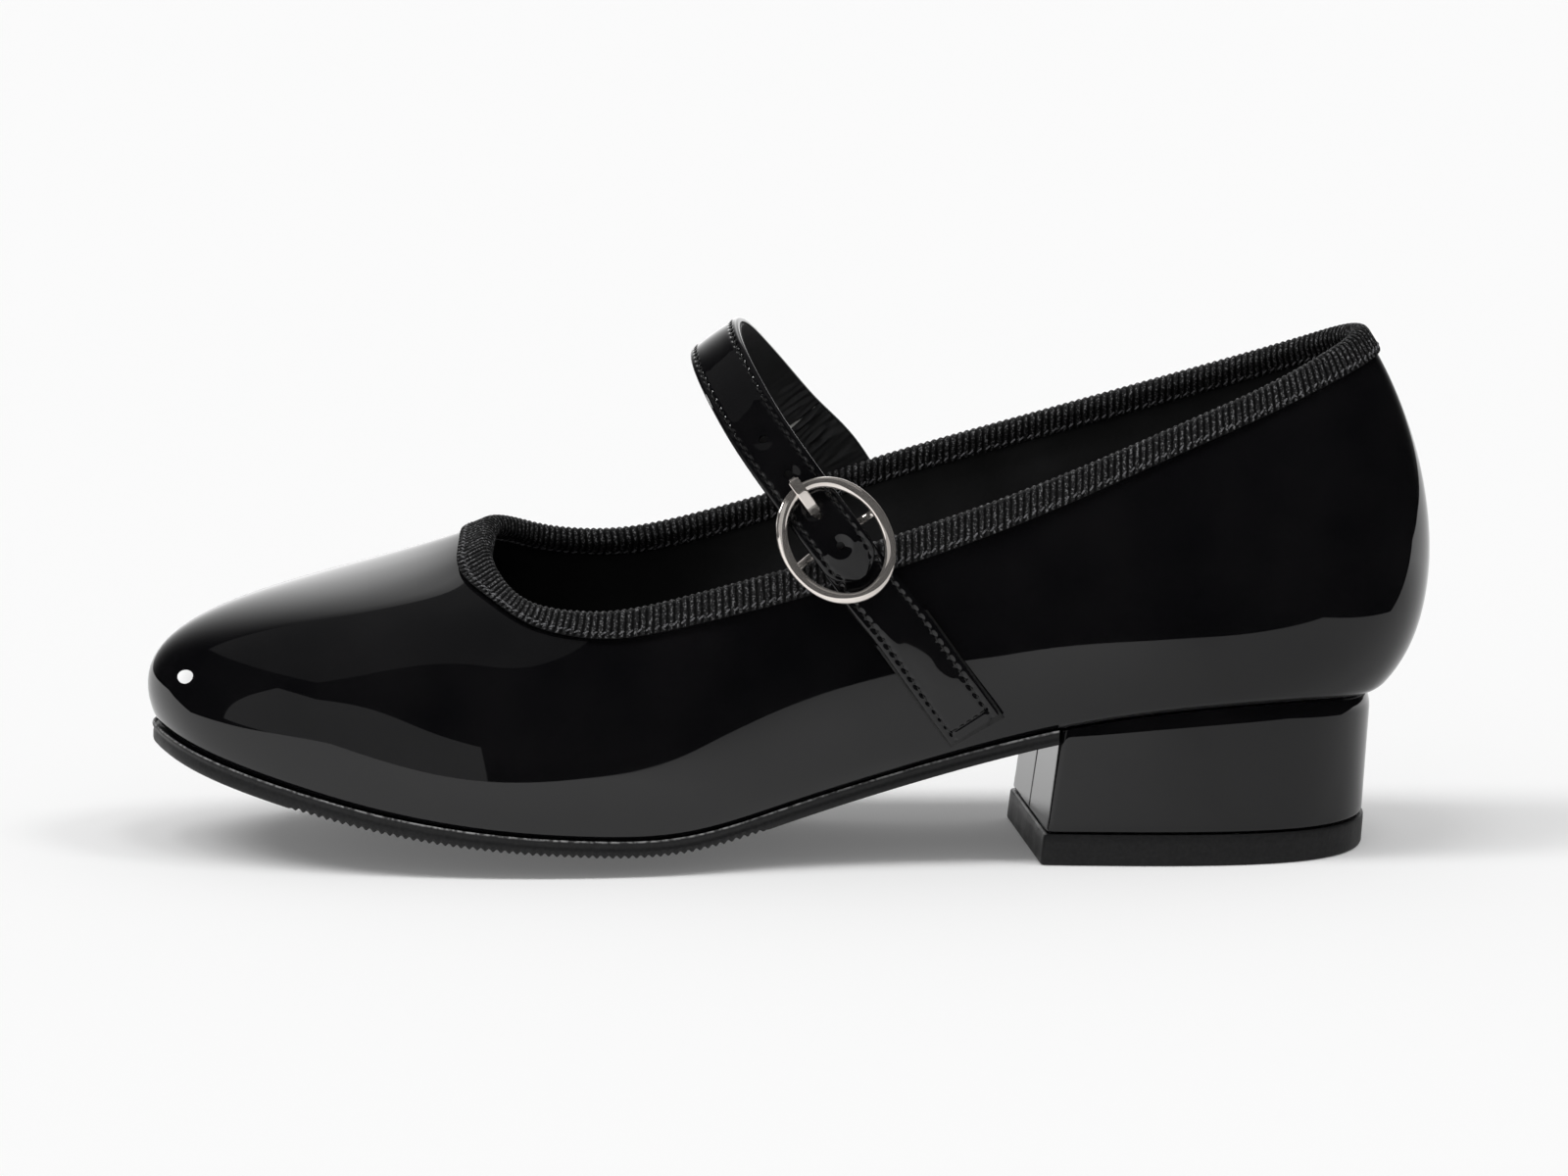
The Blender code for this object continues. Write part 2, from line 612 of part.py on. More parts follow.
def make_heel_screw(shank, board, block):
    place, seat = (SCREW_X, SHANK_Y, 0), float(last_bottom(SCREW_X, SHANK_Y))
    low_end, high_end = seat - 13, seat + BOARD_LOW + BOARD_THICK - GAP
    cylinder("heel_screw", place, SCREW_RADIUS, low_end, high_end, "steel")
    drill(shank, "screw_shank_hole", place, SCREW_RADIUS, seat - 2, high_end + 4)
    drill(board, "screw_board_hole", place, SCREW_RADIUS, seat + 1, high_end + 6)
    drill(block, "screw_block_hole", place, SCREW_RADIUS, low_end - 0.5, seat + 4)


def make_pins(block, top_piece):
    for index, (x, y) in enumerate(PIN_PLACES, 1):
        low, high = 1.8, 13.5
        cylinder(f"top_piece_pin_{index}", (x, y, 0), PIN_RADIUS, low, high, "steel", sides=12)
        drill(top_piece, f"pin_{index}_top_piece_hole", (x, y, 0), PIN_RADIUS, low - GAP, 9)
        drill(block, f"pin_{index}_block_hole", (x, y, 0), PIN_RADIUS, 3, high + GAP)


# Straps and buckle

BUCKLE_X, BUCKLE_Z = 8.7, 61.4
RING_LONG, RING_WIDE, RING_WIRE = 24.5, 20.2, 1.0  # outer length, outer width, wire radius
RING_OUT, RING_DIP = 5.9, 0.4  # height of the ring over the wall and how much its sides dip
BAR_OUT, BAR_RADIUS = 3.6, 0.7
HINGE_INNER = (10.1, 67.3)  # x and z where the strap bends over the inner top line
HINGE_SPLIT = 0.9  # from the bend to the end of the free strap, and to that of its anchor


def place_on_wall(x, z, inner=False):
    """Lap and down of the place on one wall that has this x and z."""
    lap, down = float(lap_at_x(x, inner)), 20.0
    for _ in range(25):
        here = wall(lap, down, 0.0)
        by_lap = (wall(lap + 1e-4, down, 0.0) - here) / 1e-4
        by_down = (wall(lap, down + 0.01, 0.0) - here) / 0.01
        slope = np.array([[by_lap[0], by_down[0]], [by_lap[2], by_down[2]]])
        step = np.linalg.solve(slope, [x - here[0], z - here[2]])
        lap, down = lap + float(np.clip(step[0], -0.03, 0.03)), down + float(np.clip(step[1], -8, 8))
    return lap, down


def wall_frame(x, z, inner=False):
    """Place on the wall, or above its top line, and the direction out of it."""
    lap, down = place_on_wall(x, z, inner)
    here = wall(lap, down, 0.0)
    return here, unit(wall(lap, down, 1.0) - here)


BUCKLE_AT, BUCKLE_OUT = wall_frame(BUCKLE_X, BUCKLE_Z)
UP_STRAP = np.array([-0.58, 0.0, 0.81])  # the strap stands in an upright plane that leans forward
STRAP_PLANE = unit(np.array([0.81, 0.0, 0.58]))  # square to the loop that the strap makes
BUCKLE_UP = unit(UP_STRAP - BUCKLE_OUT * (UP_STRAP @ BUCKLE_OUT))
BUCKLE_SIDE = np.cross(BUCKLE_UP, BUCKLE_OUT)


def at_buckle(up, out, side=0.0):
    """Place given along the strap, out from the wall and across the strap."""
    return BUCKLE_AT + up * BUCKLE_UP + out * BUCKLE_OUT + side * BUCKLE_SIDE


def strip_sections(path, wide, thick, out=0.0, tip=0.0):
    """Rectangles along a path of place and normal; tip rounds the last stretch to a point."""
    places, normals = path[:, :3], path[:, 3:]
    along = unit(np.gradient(places, axis=0))
    normals = unit(normals - along * (normals * along).sum(1)[:, None])
    side = np.cross(along, normals)
    run = np.concatenate([[0], np.cumsum(np.linalg.norm(np.diff(places, axis=0), axis=1))])
    half = np.full(len(places), wide / 2)
    if tip:
        left = np.clip((run[-1] - run) / tip, 0.02, 1)
        half *= np.sqrt(1 - (1 - left) ** 2)
    middle = places + out * normals
    return [
        [m + s * h * w + t * thick / 2 * n for s, t in ((-1, -1), (1, -1), (1, 1), (-1, 1))]
        for m, w, n, h in zip(middle, side, normals, half)
    ]


def layers(path, names, wide, tip=0.0):
    """The strap's plies, from the lining out."""
    total = STRAP_LINING_THICK + STRAP_TAPE_THICK + STRAP_OUTER_THICK + 2 * STRAP_GAP
    plies = [
        (names[0], STRAP_LINING_THICK, "lining", wide - 0.4),
        (names[1], STRAP_TAPE_THICK, "foam", wide - 2.4),
        (names[2], STRAP_OUTER_THICK, "patent", wide),
    ]
    low, made = -total / 2, []
    for name, thick, finish, ply_wide in plies:
        if name:
            sections = strip_sections(path, ply_wide, thick, low + thick / 2, tip)
            made.append(sweep(name, sections, finish))
        low += thick + STRAP_GAP
    return made


def on_wall(x, z, out, inner=False):
    here, normal = wall_frame(x, z, inner)
    return [*(here + out * normal), *normal]


def in_buckle(up, out):
    return [*at_buckle(up, out), *BUCKLE_OUT]


ARCH = [
    (-5.2, -27.6, 81.2), (-9.9, -21.0, 88.8), (-12.4, -11.0, 93.4), (-12.4, 0.0, 94.6),
    (-10.2, 11.0, 92.2), (-5.2, 20.0, 85.6), (1.9, 25.2, 76.6),
]


def arch_rows():
    rows = []
    for before, here, after in zip(ARCH[:-2], ARCH[1:-1], ARCH[2:]):
        along = unit(np.array(after) - np.array(before))
        rows.append([*here, *unit(np.cross(STRAP_PLANE, along))])
    first, last = rows[0], rows[-1]
    start_normal = unit(0.4 * np.array(first[3:]) + 0.6 * BUCKLE_OUT)
    end_normal = unit(np.array([0.0, 1.0, 0.12]))
    return [[*ARCH[0], *start_normal]] + rows + [[*ARCH[-1], *end_normal]]


def instep_path():
    """From the inner top line over the instep to the tail in the buckle."""
    x, z = HINGE_INNER
    start_x, start_z = x + HINGE_SPLIT * UP_STRAP[0], z + HINGE_SPLIT * UP_STRAP[2]
    crossing = on_wall(start_x, start_z, 2.2, inner=True)
    inside = [crossing] + arch_rows()[::-1]
    tail = [in_buckle(up, out) for up, out in (
        (15.5, 2.9), (11.5, 3.3), (8.6, 3.8), (5.6, 5.1), (2.6, 6.3), (-0.2, 6.6), (-3.8, 5.7),
        (-8.0, 4.4))]
    return open_spline(inside + tail, np.linspace(0, 1, 52))


def anchor_path():
    rows = [on_wall(x, z, out, inner=True) for x, z, out in (
        (10.7, 66.2, 2.2), (13.4, 62.0, 2.2), (16.6, 57.0, 2.1), (20.8, 50.0, 1.5),
        (25.8, 42.0, 1.3), (30.2, 35.0, 1.3), (33.2, 30.2, 1.3))]
    return open_spline(rows, np.linspace(0, 1, 18))


def buckle_strap_path():
    """Up the outer wall, over the bar and back beneath itself; also the lining's path."""
    rows = [on_wall(x, z, out) for x, z, out in (
        (34.3, 26.6, 1.75), (30.2, 32.2, 1.75), (25.6, 38.6, 1.75), (21.0, 45.0, 2.2))]
    flat = [in_buckle(-12.0, 2.7), in_buckle(-7.0, 2.9), in_buckle(-3.4, 3.9)]
    loop_radius = BAR_RADIUS + 0.2 + STRAP_OUTER_THICK / 2
    turn = []
    for angle in np.radians(np.arange(125, -91, -36)):
        normal = math.cos(angle) * BUCKLE_UP + math.sin(angle) * BUCKLE_OUT
        turn.append([*(at_buckle(0, BAR_OUT) + loop_radius * normal), *normal])
    back = [[*at_buckle(up, out), *(-BUCKLE_OUT)] for up, out in ((-3.2, 1.75), (-8.0, 1.55))]
    return rows, flat, turn, back


def make_straps():
    rows, flat, turn, back = buckle_strap_path()
    outer_path = np.concatenate([
        open_spline(rows + flat, np.linspace(0, 1, 26))[:-1],
        open_spline([flat[-1]] + turn + back, np.linspace(0, 1, 26)),
    ])
    buckle_strap = sweep(
        "buckle_strap", strip_sections(outer_path, STRAP_WIDE, STRAP_OUTER_THICK), "patent")
    drop = (STRAP_OUTER_THICK + STRAP_LINING_THICK) / 2 + STRAP_GAP
    lining_path = open_spline(rows, np.linspace(0, 1, 16))
    sweep("buckle_strap_lining",
          strip_sections(lining_path, STRAP_WIDE - 0.4, STRAP_LINING_THICK, -drop), "lining")
    free = layers(instep_path(), ("strap_lining", "strap_reinforcement", "instep_strap"),
                  STRAP_WIDE, tip=5.0)
    layers(anchor_path(), ("strap_anchor_lining", "", "strap_anchor"), STRAP_WIDE)
    punch_holes(free)
    cut(buckle_strap, as_cutter(prong_slot("prong_slot", 1.7, 0.6, 6, -3.2, 2.6)))


def prong_slot(name, half_wide, low, high, start, stop):
    """Block that cuts a slot for the prong, from start to stop along the strap."""
    corners = [(-half_wide, low), (half_wide, low), (half_wide, high), (-half_wide, high)]
    return sweep(name, [
        [at_buckle(up, out, side) for side, out in corners] for up in (start, stop)
    ], "steel")


def punch_holes(free):
    path = instep_path()
    places = path[:, :3]
    run = np.concatenate([[0], np.cumsum(np.linalg.norm(np.diff(places, axis=0), axis=1))])
    prong_at = run[np.argmin(np.linalg.norm(places - at_buckle(PRONG_HOLE_UP, 5.0), axis=1))]
    cutters = [prong_slot("prong_hole", 1.35, 2, 9, 3.6, 9.4)]
    for index in range(4):
        at = prong_at + HOLE_PITCH * (1 - index)
        row = np.array([np.interp(at, run, path[:, k]) for k in range(6)])
        cutters.append(cylinder(
            f"strap_hole_{index + 1}", row[:3], HOLE_RADIUS, -4, 4, "steel", axis=unit(row[3:]),
            sides=14))
    for cutter in cutters:
        as_cutter(cutter)
        for ply in free:
            cut(ply, cutter)


def tube(name, places, radius, finish, closed=False, sides=2):
    """Round wire through the places, as a mesh with welded caps."""
    curve = bpy.data.curves.new(name, "CURVE")
    curve.dimensions = "3D"
    curve.bevel_depth = radius * MM
    curve.bevel_resolution = sides
    curve.use_fill_caps = True
    spline = curve.splines.new("POLY")
    spline.points.add(len(places) - 1)
    for point, place in zip(spline.points, places):
        point.co = (*placed(place), 1)
    spline.use_cyclic_u = closed
    wire = bpy.data.objects.new(name + "_wire", curve)
    bpy.context.scene.collection.objects.link(wire)
    graph = bpy.context.evaluated_depsgraph_get()
    mesh = bpy.data.meshes.new_from_object(wire.evaluated_get(graph))
    bpy.data.objects.remove(wire)
    work = bmesh.new()
    work.from_mesh(mesh)
    return finished(name, work, finish)


def make_buckle():
    turns = np.linspace(0, 2 * np.pi, 48, endpoint=False)
    long, wide = RING_LONG / 2 - RING_WIRE, RING_WIDE / 2 - RING_WIRE
    ring = [
        at_buckle(long * math.cos(a), RING_OUT + RING_DIP * math.cos(2 * a), wide * math.sin(a))
        for a in turns
    ]
    frame = tube("buckle_frame", ring, RING_WIRE, "nickel", closed=True)
    rise = RING_OUT - RING_DIP
    bar = [
        at_buckle(0, out, side) for side, out in (
            (-wide, rise), (-wide + 1.6, rise - 0.5), (-wide + 3.0, BAR_OUT), (0, BAR_OUT),
            (wide - 3.0, BAR_OUT), (wide - 1.6, rise - 0.5), (wide, rise))
    ]
    joined = as_cutter(tube("buckle_bar", bar, BAR_RADIUS, "nickel"))
    cut(frame, joined, "UNION")


def make_prong():
    """Flat tongue whose root wraps the bar."""
    eye_radius = BAR_RADIUS + 0.15 + 0.35
    eye = []
    for angle in np.radians(np.arange(-315, -44, 30)):
        normal = math.cos(angle) * BUCKLE_UP + math.sin(angle) * BUCKLE_OUT
        eye.append([*(at_buckle(0, BAR_OUT) + eye_radius * normal), *normal])
    shaft = open_spline([
        [*at_buckle(up, out), *BUCKLE_OUT] for up, out in (
            (1.9, 3.9), (4.2, 4.15), (6.4, 5.3), (8.9, 7.2), (11.3, 8.05), (14.0, 7.9))
    ], np.linspace(0, 1, 14))
    path = np.concatenate([shaft[::-1], eye])
    sweep("buckle_prong", strip_sections(path, 2.0, 0.7), "nickel")


def main():
    clear_scene()
    make_upper()
    make_lining()
    stiffener("toe_puff", centre=0.0, reach=7)
    stiffener("heel_counter", centre=0.5, reach=9)
    make_binding()
    board = make_footbed()
    make_outsole()
    shank = make_shank()
    make_shank_fixings(shank, board)
    block, top_piece = make_heel(board)
    make_heel_screw(shank, board, block)
    make_pins(block, top_piece)
    make_straps()
    make_buckle()
    make_prong()


main()
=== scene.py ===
"""Looks for the left block-heel tap shoe: patent leather, ribbon binding, buckled strap, ribbed sole.

The shoe's tables and spline rules are those of the CAD model, in millimetres; meshes are in metres.
A place on the wall of the shoe is (lap, down, out): lap runs once round the shoe, from the toe along
the outer side to the heel and back, down is the distance below the top line, and out is the
distance outside the patent face.
"""
import json
import math

import bmesh
import bpy
import numpy as np
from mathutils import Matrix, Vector, noise


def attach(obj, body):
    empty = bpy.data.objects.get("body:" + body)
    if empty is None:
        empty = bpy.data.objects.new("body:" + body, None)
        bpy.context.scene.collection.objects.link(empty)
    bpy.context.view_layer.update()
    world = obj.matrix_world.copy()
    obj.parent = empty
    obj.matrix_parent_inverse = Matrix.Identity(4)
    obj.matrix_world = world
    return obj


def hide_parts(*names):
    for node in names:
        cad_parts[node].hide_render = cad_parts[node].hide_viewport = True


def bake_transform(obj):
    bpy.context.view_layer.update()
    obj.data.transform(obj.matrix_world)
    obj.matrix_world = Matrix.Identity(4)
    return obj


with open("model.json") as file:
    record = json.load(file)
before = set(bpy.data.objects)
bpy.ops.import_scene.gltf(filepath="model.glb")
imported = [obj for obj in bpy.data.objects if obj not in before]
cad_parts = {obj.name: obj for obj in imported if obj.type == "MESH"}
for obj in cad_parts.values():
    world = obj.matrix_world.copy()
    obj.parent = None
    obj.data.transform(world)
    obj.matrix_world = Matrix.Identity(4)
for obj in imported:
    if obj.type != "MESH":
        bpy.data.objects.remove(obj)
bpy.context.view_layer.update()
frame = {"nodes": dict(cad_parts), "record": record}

MM = 0.001
CENTRE = np.array([0.94, -0.18, 0.0])
GAP = 0.3
UPPER_THICK, LINING_THICK, STIFFENER_THICK = 1.2, 0.7, 0.7
BINDING_WIDE, BINDING_THICK = 5.4, 0.5
SOLE_EDGE_OUT, TOP_PIECE_HIGH = 1.0, 5.8
BREAST_X, BREAST_TURN = 48.0, -0.098
BREAST_LEAN, BACK_LEAN, HEEL_SEAT_HIGH = 3.4, 1.9, 27.0
HEEL_INSET, COVER_THICK = 0.8, 0.9
STRAP_WIDE = 10.6
HOLE_PITCH, HOLE_RADIUS, PRONG_HOLE_UP = 8.0, 0.78, 6.6
TOE_X, HEEL_X = -116.5, 109.8

FEATHER = [
    (-116.5, 2.0, 2.0, 22.4), (-112.0, -11.5, 14.0, 20.8), (-103.0, -21.5, 24.0, 18.1),
    (-90.0, -29.3, 31.3, 14.8), (-73.0, -35.0, 36.0, 11.0), (-54.0, -37.4, 37.2, 8.1),
    (-36.0, -37.0, 35.0, 6.7), (-18.0, -34.0, 29.6, 7.0), (0.0, -28.5, 23.5, 11.3),
    (18.0, -25.0, 20.8, 16.5), (36.0, -24.7, 21.0, 21.6), (54.0, -26.0, 23.0, 26.0),
    (72.0, -26.9, 24.8, 28.7), (88.0, -25.6, 24.0, 29.9), (100.0, -20.8, 19.6, 29.9),
    (107.4, -11.8, 11.2, 29.2), (109.8, 0.0, 0.0, 28.8),
]
TOP_OUTER = [
    (-54.7, 2.0, 58.4), (-54.6, -5.0, 56.4), (-53.2, -11.0, 53.6), (-50.3, -17.5, 50.6),
    (-45.2, -23.5, 48.5), (-37.0, -28.0, 48.0), (-27.0, -30.2, 49.0), (-13.0, -30.5, 52.4),
    (2.0, -29.5, 56.2), (18.0, -28.0, 60.9), (36.0, -26.0, 66.8), (54.0, -24.0, 73.7),
    (71.0, -21.3, 80.8), (86.0, -17.8, 87.0), (97.0, -12.8, 92.0), (103.8, -6.6, 95.2),
    (106.4, 0.0, 96.7),
]
TOP_INNER = [
    (-54.7, 2.0, 58.4), (-54.0, 8.0, 59.6), (-51.0, 13.0, 58.9), (-47.2, 17.2, 57.2), (-42.0, 20.5, 55.6),
    (-34.5, 23.6, 55.0), (-25.0, 25.8, 55.9), (-12.0, 26.5, 59.0), (2.0, 26.0, 63.2), (18.0, 25.0, 68.7),
    (36.0, 24.0, 74.1), (54.0, 23.0, 79.3), (71.0, 21.0, 84.4), (86.0, 17.5, 89.2), (97.0, 12.6, 93.2),
    (103.8, 6.5, 96.0), (106.4, 0.0, 96.7),
]
BULGE_OUTER = [
    (12.6, 26.0, 21.0, 11.6), (11.2, 25.0, 21.4, 10.2), (8.0, 22.0, 22.0, 8.0),
    (6.0, 19.5, 20.0, 7.0), (5.2, 14.0, 13.5, 8.5), (5.4, 9.5, 8.8, 11.0),
    (4.6, 8.8, 6.2, 13.0), (4.3, 8.0, 4.4, 14.5), (5.6, 7.6, 2.2, 16.5),
    (7.0, 7.0, 1.4, 18.0), (6.0, 9.0, 2.0, 15.5), (6.0, 12.5, 4.0, 16.0),
    (7.0, 13.0, 7.0, 18.0), (8.5, 13.0, 9.5, 20.0), (11.5, 13.0, 12.2, 22.0),
    (14.5, 13.0, 14.2, 22.0), (15.5, 13.0, 14.9, 22.0),
]
BULGE_INNER = [
    (12.6, 26.0, 21.0, 11.6), (11.2, 26.0, 21.4, 11.0), (8.0, 24.0, 22.0, 10.0),
    (6.5, 21.0, 20.0, 9.0), (5.0, 19.0, 17.0, 7.0), (4.5, 18.0, 12.5, 9.0),
    (4.0, 17.0, 9.0, 12.0), (3.0, 16.0, 6.0, 15.0), (3.0, 16.0, 4.0, 16.0),
    (3.5, 16.0, 3.0, 16.0), (5.0, 16.0, 3.0, 16.0), (6.0, 15.0, 4.5, 17.0),
    (7.0, 13.0, 7.0, 18.0), (8.5, 13.0, 9.5, 20.0), (11.5, 13.0, 12.2, 22.0),
    (14.5, 13.0, 14.2, 22.0), (15.5, 13.0, 14.9, 22.0),
]
BELLY = [(-117, 0.0), (-104, 0.9), (-85, 2.2), (-55, 3.2), (-30, 3.6), (-12, 3.0), (15, 1.4), (45, 0.0)]
SOLE_THICK = [(-117, 3.2), (-90, 3.0), (-50, 2.6), (20, 2.4), (50, 2.2)]


# Shape of the last

def closed_spline(knots, lap):
    """Smooth loop through evenly spaced knots; one lap is 1."""
    knots = np.asarray(knots, float)
    count = len(knots)
    ring = np.eye(count)
    weights = 4 * ring + np.roll(ring, 1, 0) + np.roll(ring, -1, 0)
    slopes = np.linalg.solve(weights, 3 * (np.roll(knots, -1, 0) - np.roll(knots, 1, 0)))
    place = (np.asarray(lap, float) % 1.0) * count
    first = np.floor(place).astype(int) % count
    f = (place - np.floor(place))[..., None]
    second = (first + 1) % count
    return (
        (2 * f**3 - 3 * f**2 + 1) * knots[first]
        + (f**3 - 2 * f**2 + f) * slopes[first]
        + (3 * f**2 - 2 * f**3) * knots[second]
        + (f**3 - f**2) * slopes[second]
    )


def open_spline(knots, share):
    """Smooth open curve through knots, spaced by the distance between them; share runs 0 to 1."""
    knots = np.asarray(knots, float)
    at = run_along(knots[:, :3])
    steps = np.linalg.norm(np.diff(knots[:, :3], axis=0), axis=1)
    slopes = np.gradient(knots, at, axis=0, edge_order=2)
    place = np.asarray(share, float) * at[-1]
    first = np.clip(np.searchsorted(at, place, side="right") - 1, 0, len(steps) - 1)
    h = steps[first][..., None]
    f = (place - at[first])[..., None] / h
    return (
        (2 * f**3 - 3 * f**2 + 1) * knots[first]
        + (f**3 - 2 * f**2 + f) * h * slopes[first]
        + (3 * f**2 - 2 * f**3) * knots[first + 1]
        + (f**3 - f**2) * h * slopes[first + 1]
    )


def both_sides(outer, inner):
    """Stations of the outer side toe to heel, then of the inner side heel to toe."""
    return list(outer) + list(inner)[-2:0:-1]


FEATHER_LOOP = both_sides([(x, y, z) for x, y, _, z in FEATHER], [(x, y, z) for x, _, y, z in FEATHER])
TOP_LOOP = both_sides(TOP_OUTER, TOP_INNER)
BULGE_LOOP = both_sides(BULGE_OUTER, BULGE_INNER)


def run_along(places):
    """Distance along a line to each of its places."""
    return np.concatenate([[0], np.cumsum(np.linalg.norm(np.diff(places, axis=0), axis=1))])


def fade(value, start, over):
    """0 up to start, then rising evenly to 1 over this distance."""
    return np.clip((value - start) / over, 0, 1)


def unit(vectors):
    return vectors / np.linalg.norm(vectors, axis=-1, keepdims=True)


def outward(lap):
    """Level direction out of the shoe, square to the feather line."""
    step = 1e-4
    along = closed_spline(FEATHER_LOOP, lap + step) - closed_spline(FEATHER_LOOP, lap - step)
    return unit(np.stack([along[..., 1], -along[..., 0], 0 * along[..., 0]], -1))


def on_column(lap, rise):
    """A place on the wall; rise runs from 0 at the feather line to 1 at the top line."""
    foot, top = closed_spline(FEATHER_LOOP, lap), closed_spline(TOP_LOOP, lap)
    bulge, out = closed_spline(BULGE_LOOP, lap), outward(lap)
    up = np.array([0, 0, 1.0])
    low = foot + bulge[..., 0:1] * out + bulge[..., 1:2] * up
    high = top + bulge[..., 2:3] * out - bulge[..., 3:4] * up
    r = np.asarray(rise, float)[..., None]
    return (1 - r) ** 3 * foot + 3 * r * (1 - r) ** 2 * low + 3 * r**2 * (1 - r) * high + r**3 * top


def wall_normal(lap, rise):
    step = 1e-3
    low, high = np.maximum(rise - step, 0), np.minimum(rise + step, 1)
    across = on_column(lap + step, rise) - on_column(lap - step, rise)
    return unit(np.cross(across, on_column(lap, high) - on_column(lap, low)))


COLUMN_RISES = np.linspace(1, 0, 121)


def column_runs(laps):
    """Distance down each column at each of COLUMN_RISES."""
    places = on_column(laps[:, None], COLUMN_RISES[None, :] + 0 * laps[:, None])
    steps = np.linalg.norm(np.diff(places, axis=1), axis=2)
    return np.concatenate([np.zeros((len(laps), 1)), np.cumsum(steps, axis=1)], axis=1)


def wall(laps, down, out):
    """Rows of places, one row for each lap; above the top line where down is negative."""
    laps = np.atleast_1d(np.asarray(laps, float))
    runs = column_runs(laps)
    down = np.broadcast_to(down, (len(laps),) + np.shape(down)[-1:]).astype(float)
    out = np.broadcast_to(out, down.shape).astype(float)
    rise = np.array([np.interp(d, run, COLUMN_RISES) for d, run in zip(down, runs)])
    column = laps[:, None] + 0 * rise
    ending = unit(on_column(laps, 1 + 0 * laps) - on_column(laps, 0.99 + 0 * laps))[:, None]
    above = np.minimum(down, 0)[..., None]
    return on_column(column, rise) + out[..., None] * wall_normal(column, rise) - above * ending


def wall_length(laps):
    return column_runs(np.atleast_1d(laps))[:, -1]


DENSE = np.linspace(0, 0.5, 2001)
DENSE_OUTER = closed_spline(FEATHER_LOOP, DENSE)
DENSE_INNER = closed_spline(FEATHER_LOOP, 1 - DENSE)


def last_bottom(x, y):
    """Height of the underside of the last."""
    outer = np.interp(x, DENSE_OUTER[:, 0], DENSE_OUTER[:, 1])
    inner = np.interp(x, DENSE_INNER[:, 0], DENSE_INNER[:, 1])
    edge = np.interp(x, DENSE_OUTER[:, 0], DENSE_OUTER[:, 2])
    half = np.maximum((inner - outer) / 2, 1.0)
    aside = np.clip((y - (inner + outer) / 2) / half, -1.15, 1.15)
    depth = np.interp(x, *zip(*BELLY))
    return edge - depth * (1 - aside**2)


def under(lap, inset, lift=0.0):
    """Places beneath the last, this far inside the feather line and above its underside."""
    lap, inset, lift = np.broadcast_arrays(np.asarray(lap, float), inset, lift)
    flat = closed_spline(FEATHER_LOOP, lap) - inset[..., None] * outward(lap)
    return np.stack([flat[..., 0], flat[..., 1], last_bottom(flat[..., 0], flat[..., 1]) + lift], -1)


def lap_at_x(x, inner=False):
    line = DENSE_INNER if inner else DENSE_OUTER
    lap = np.interp(x, line[:, 0], DENSE)
    return 1 - lap if inner else lap


def breast_x(y):
    return BREAST_X + BREAST_TURN * y


# Materials

def shader_material(name, colour, roughness, metallic=0.0):
    made = bpy.data.materials.new(name)
    made.use_nodes = True
    tree = made.node_tree
    shader = tree.nodes["Principled BSDF"]
    shader.inputs["Base Color"].default_value = (*colour, 1)
    shader.inputs["Roughness"].default_value = roughness
    shader.inputs["Metallic"].default_value = metallic
    return made, tree, shader


def add_noise(tree, scale, detail=4.0, stretch=(1, 1, 1)):
    """Noise in the piece's own coordinates; scale is in waves to the metre."""
    coords = tree.nodes.new("ShaderNodeTexCoord")
    mapping = tree.nodes.new("ShaderNodeMapping")
    mapping.inputs["Scale"].default_value = stretch
    texture = tree.nodes.new("ShaderNodeTexNoise")
    texture.inputs["Scale"].default_value = scale
    texture.inputs["Detail"].default_value = detail
    tree.links.new(coords.outputs["Object"], mapping.inputs["Vector"])
    tree.links.new(mapping.outputs["Vector"], texture.inputs["Vector"])
    return texture.outputs["Fac"]


def remap(tree, value, low, high, from_low=0.3, from_high=0.7):
    node = tree.nodes.new("ShaderNodeMapRange")
    node.inputs["From Min"].default_value = from_low
    node.inputs["From Max"].default_value = from_high
    node.inputs["To Min"].default_value = low
    node.inputs["To Max"].default_value = high
    tree.links.new(value, node.inputs["Value"])
    return node.outputs["Result"]


def vary_colour(tree, shader, value, dark, light, low=0.3, high=0.7):
    """Base colour from dark at low to light at high."""
    ramp = tree.nodes.new("ShaderNodeValToRGB")
    ramp.color_ramp.elements[0].position = low
    ramp.color_ramp.elements[1].position = high
    ramp.color_ramp.elements[0].color = (*dark, 1)
    ramp.color_ramp.elements[1].color = (*light, 1)
    tree.links.new(value, ramp.inputs["Fac"])
    tree.links.new(ramp.outputs["Color"], shader.inputs["Base Color"])


def add_bump(tree, shader, layers):
    """Bump from (height, depth in metres) pairs, one on top of the other."""
    before = None
    for height, depth in layers:
        node = tree.nodes.new("ShaderNodeBump")
        node.inputs["Distance"].default_value = depth
        node.inputs["Strength"].default_value = 1.0
        tree.links.new(height, node.inputs["Height"])
        if before:
            tree.links.new(before, node.inputs["Normal"])
        before = node.outputs["Normal"]
    tree.links.new(before, shader.inputs["Normal"])


def patent_leather(name, ripple):
    """Smooth leather under a thick clear coating; ripple is the depth of its waves in metres."""
    made, tree, shader = shader_material(name, (0.004, 0.004, 0.0045), 0.03)
    shader.inputs["IOR"].default_value = 1.5
    vary_colour(tree, shader, add_noise(tree, 60), (0.003, 0.003, 0.0035), (0.0055, 0.0053, 0.0058))
    tree.links.new(remap(tree, add_noise(tree, 90), 0.018, 0.045), shader.inputs["Roughness"])
    add_bump(tree, shader, [(add_noise(tree, 55, 1.0), ripple), (add_noise(tree, 900, 2.0), 4e-7)])
    return made


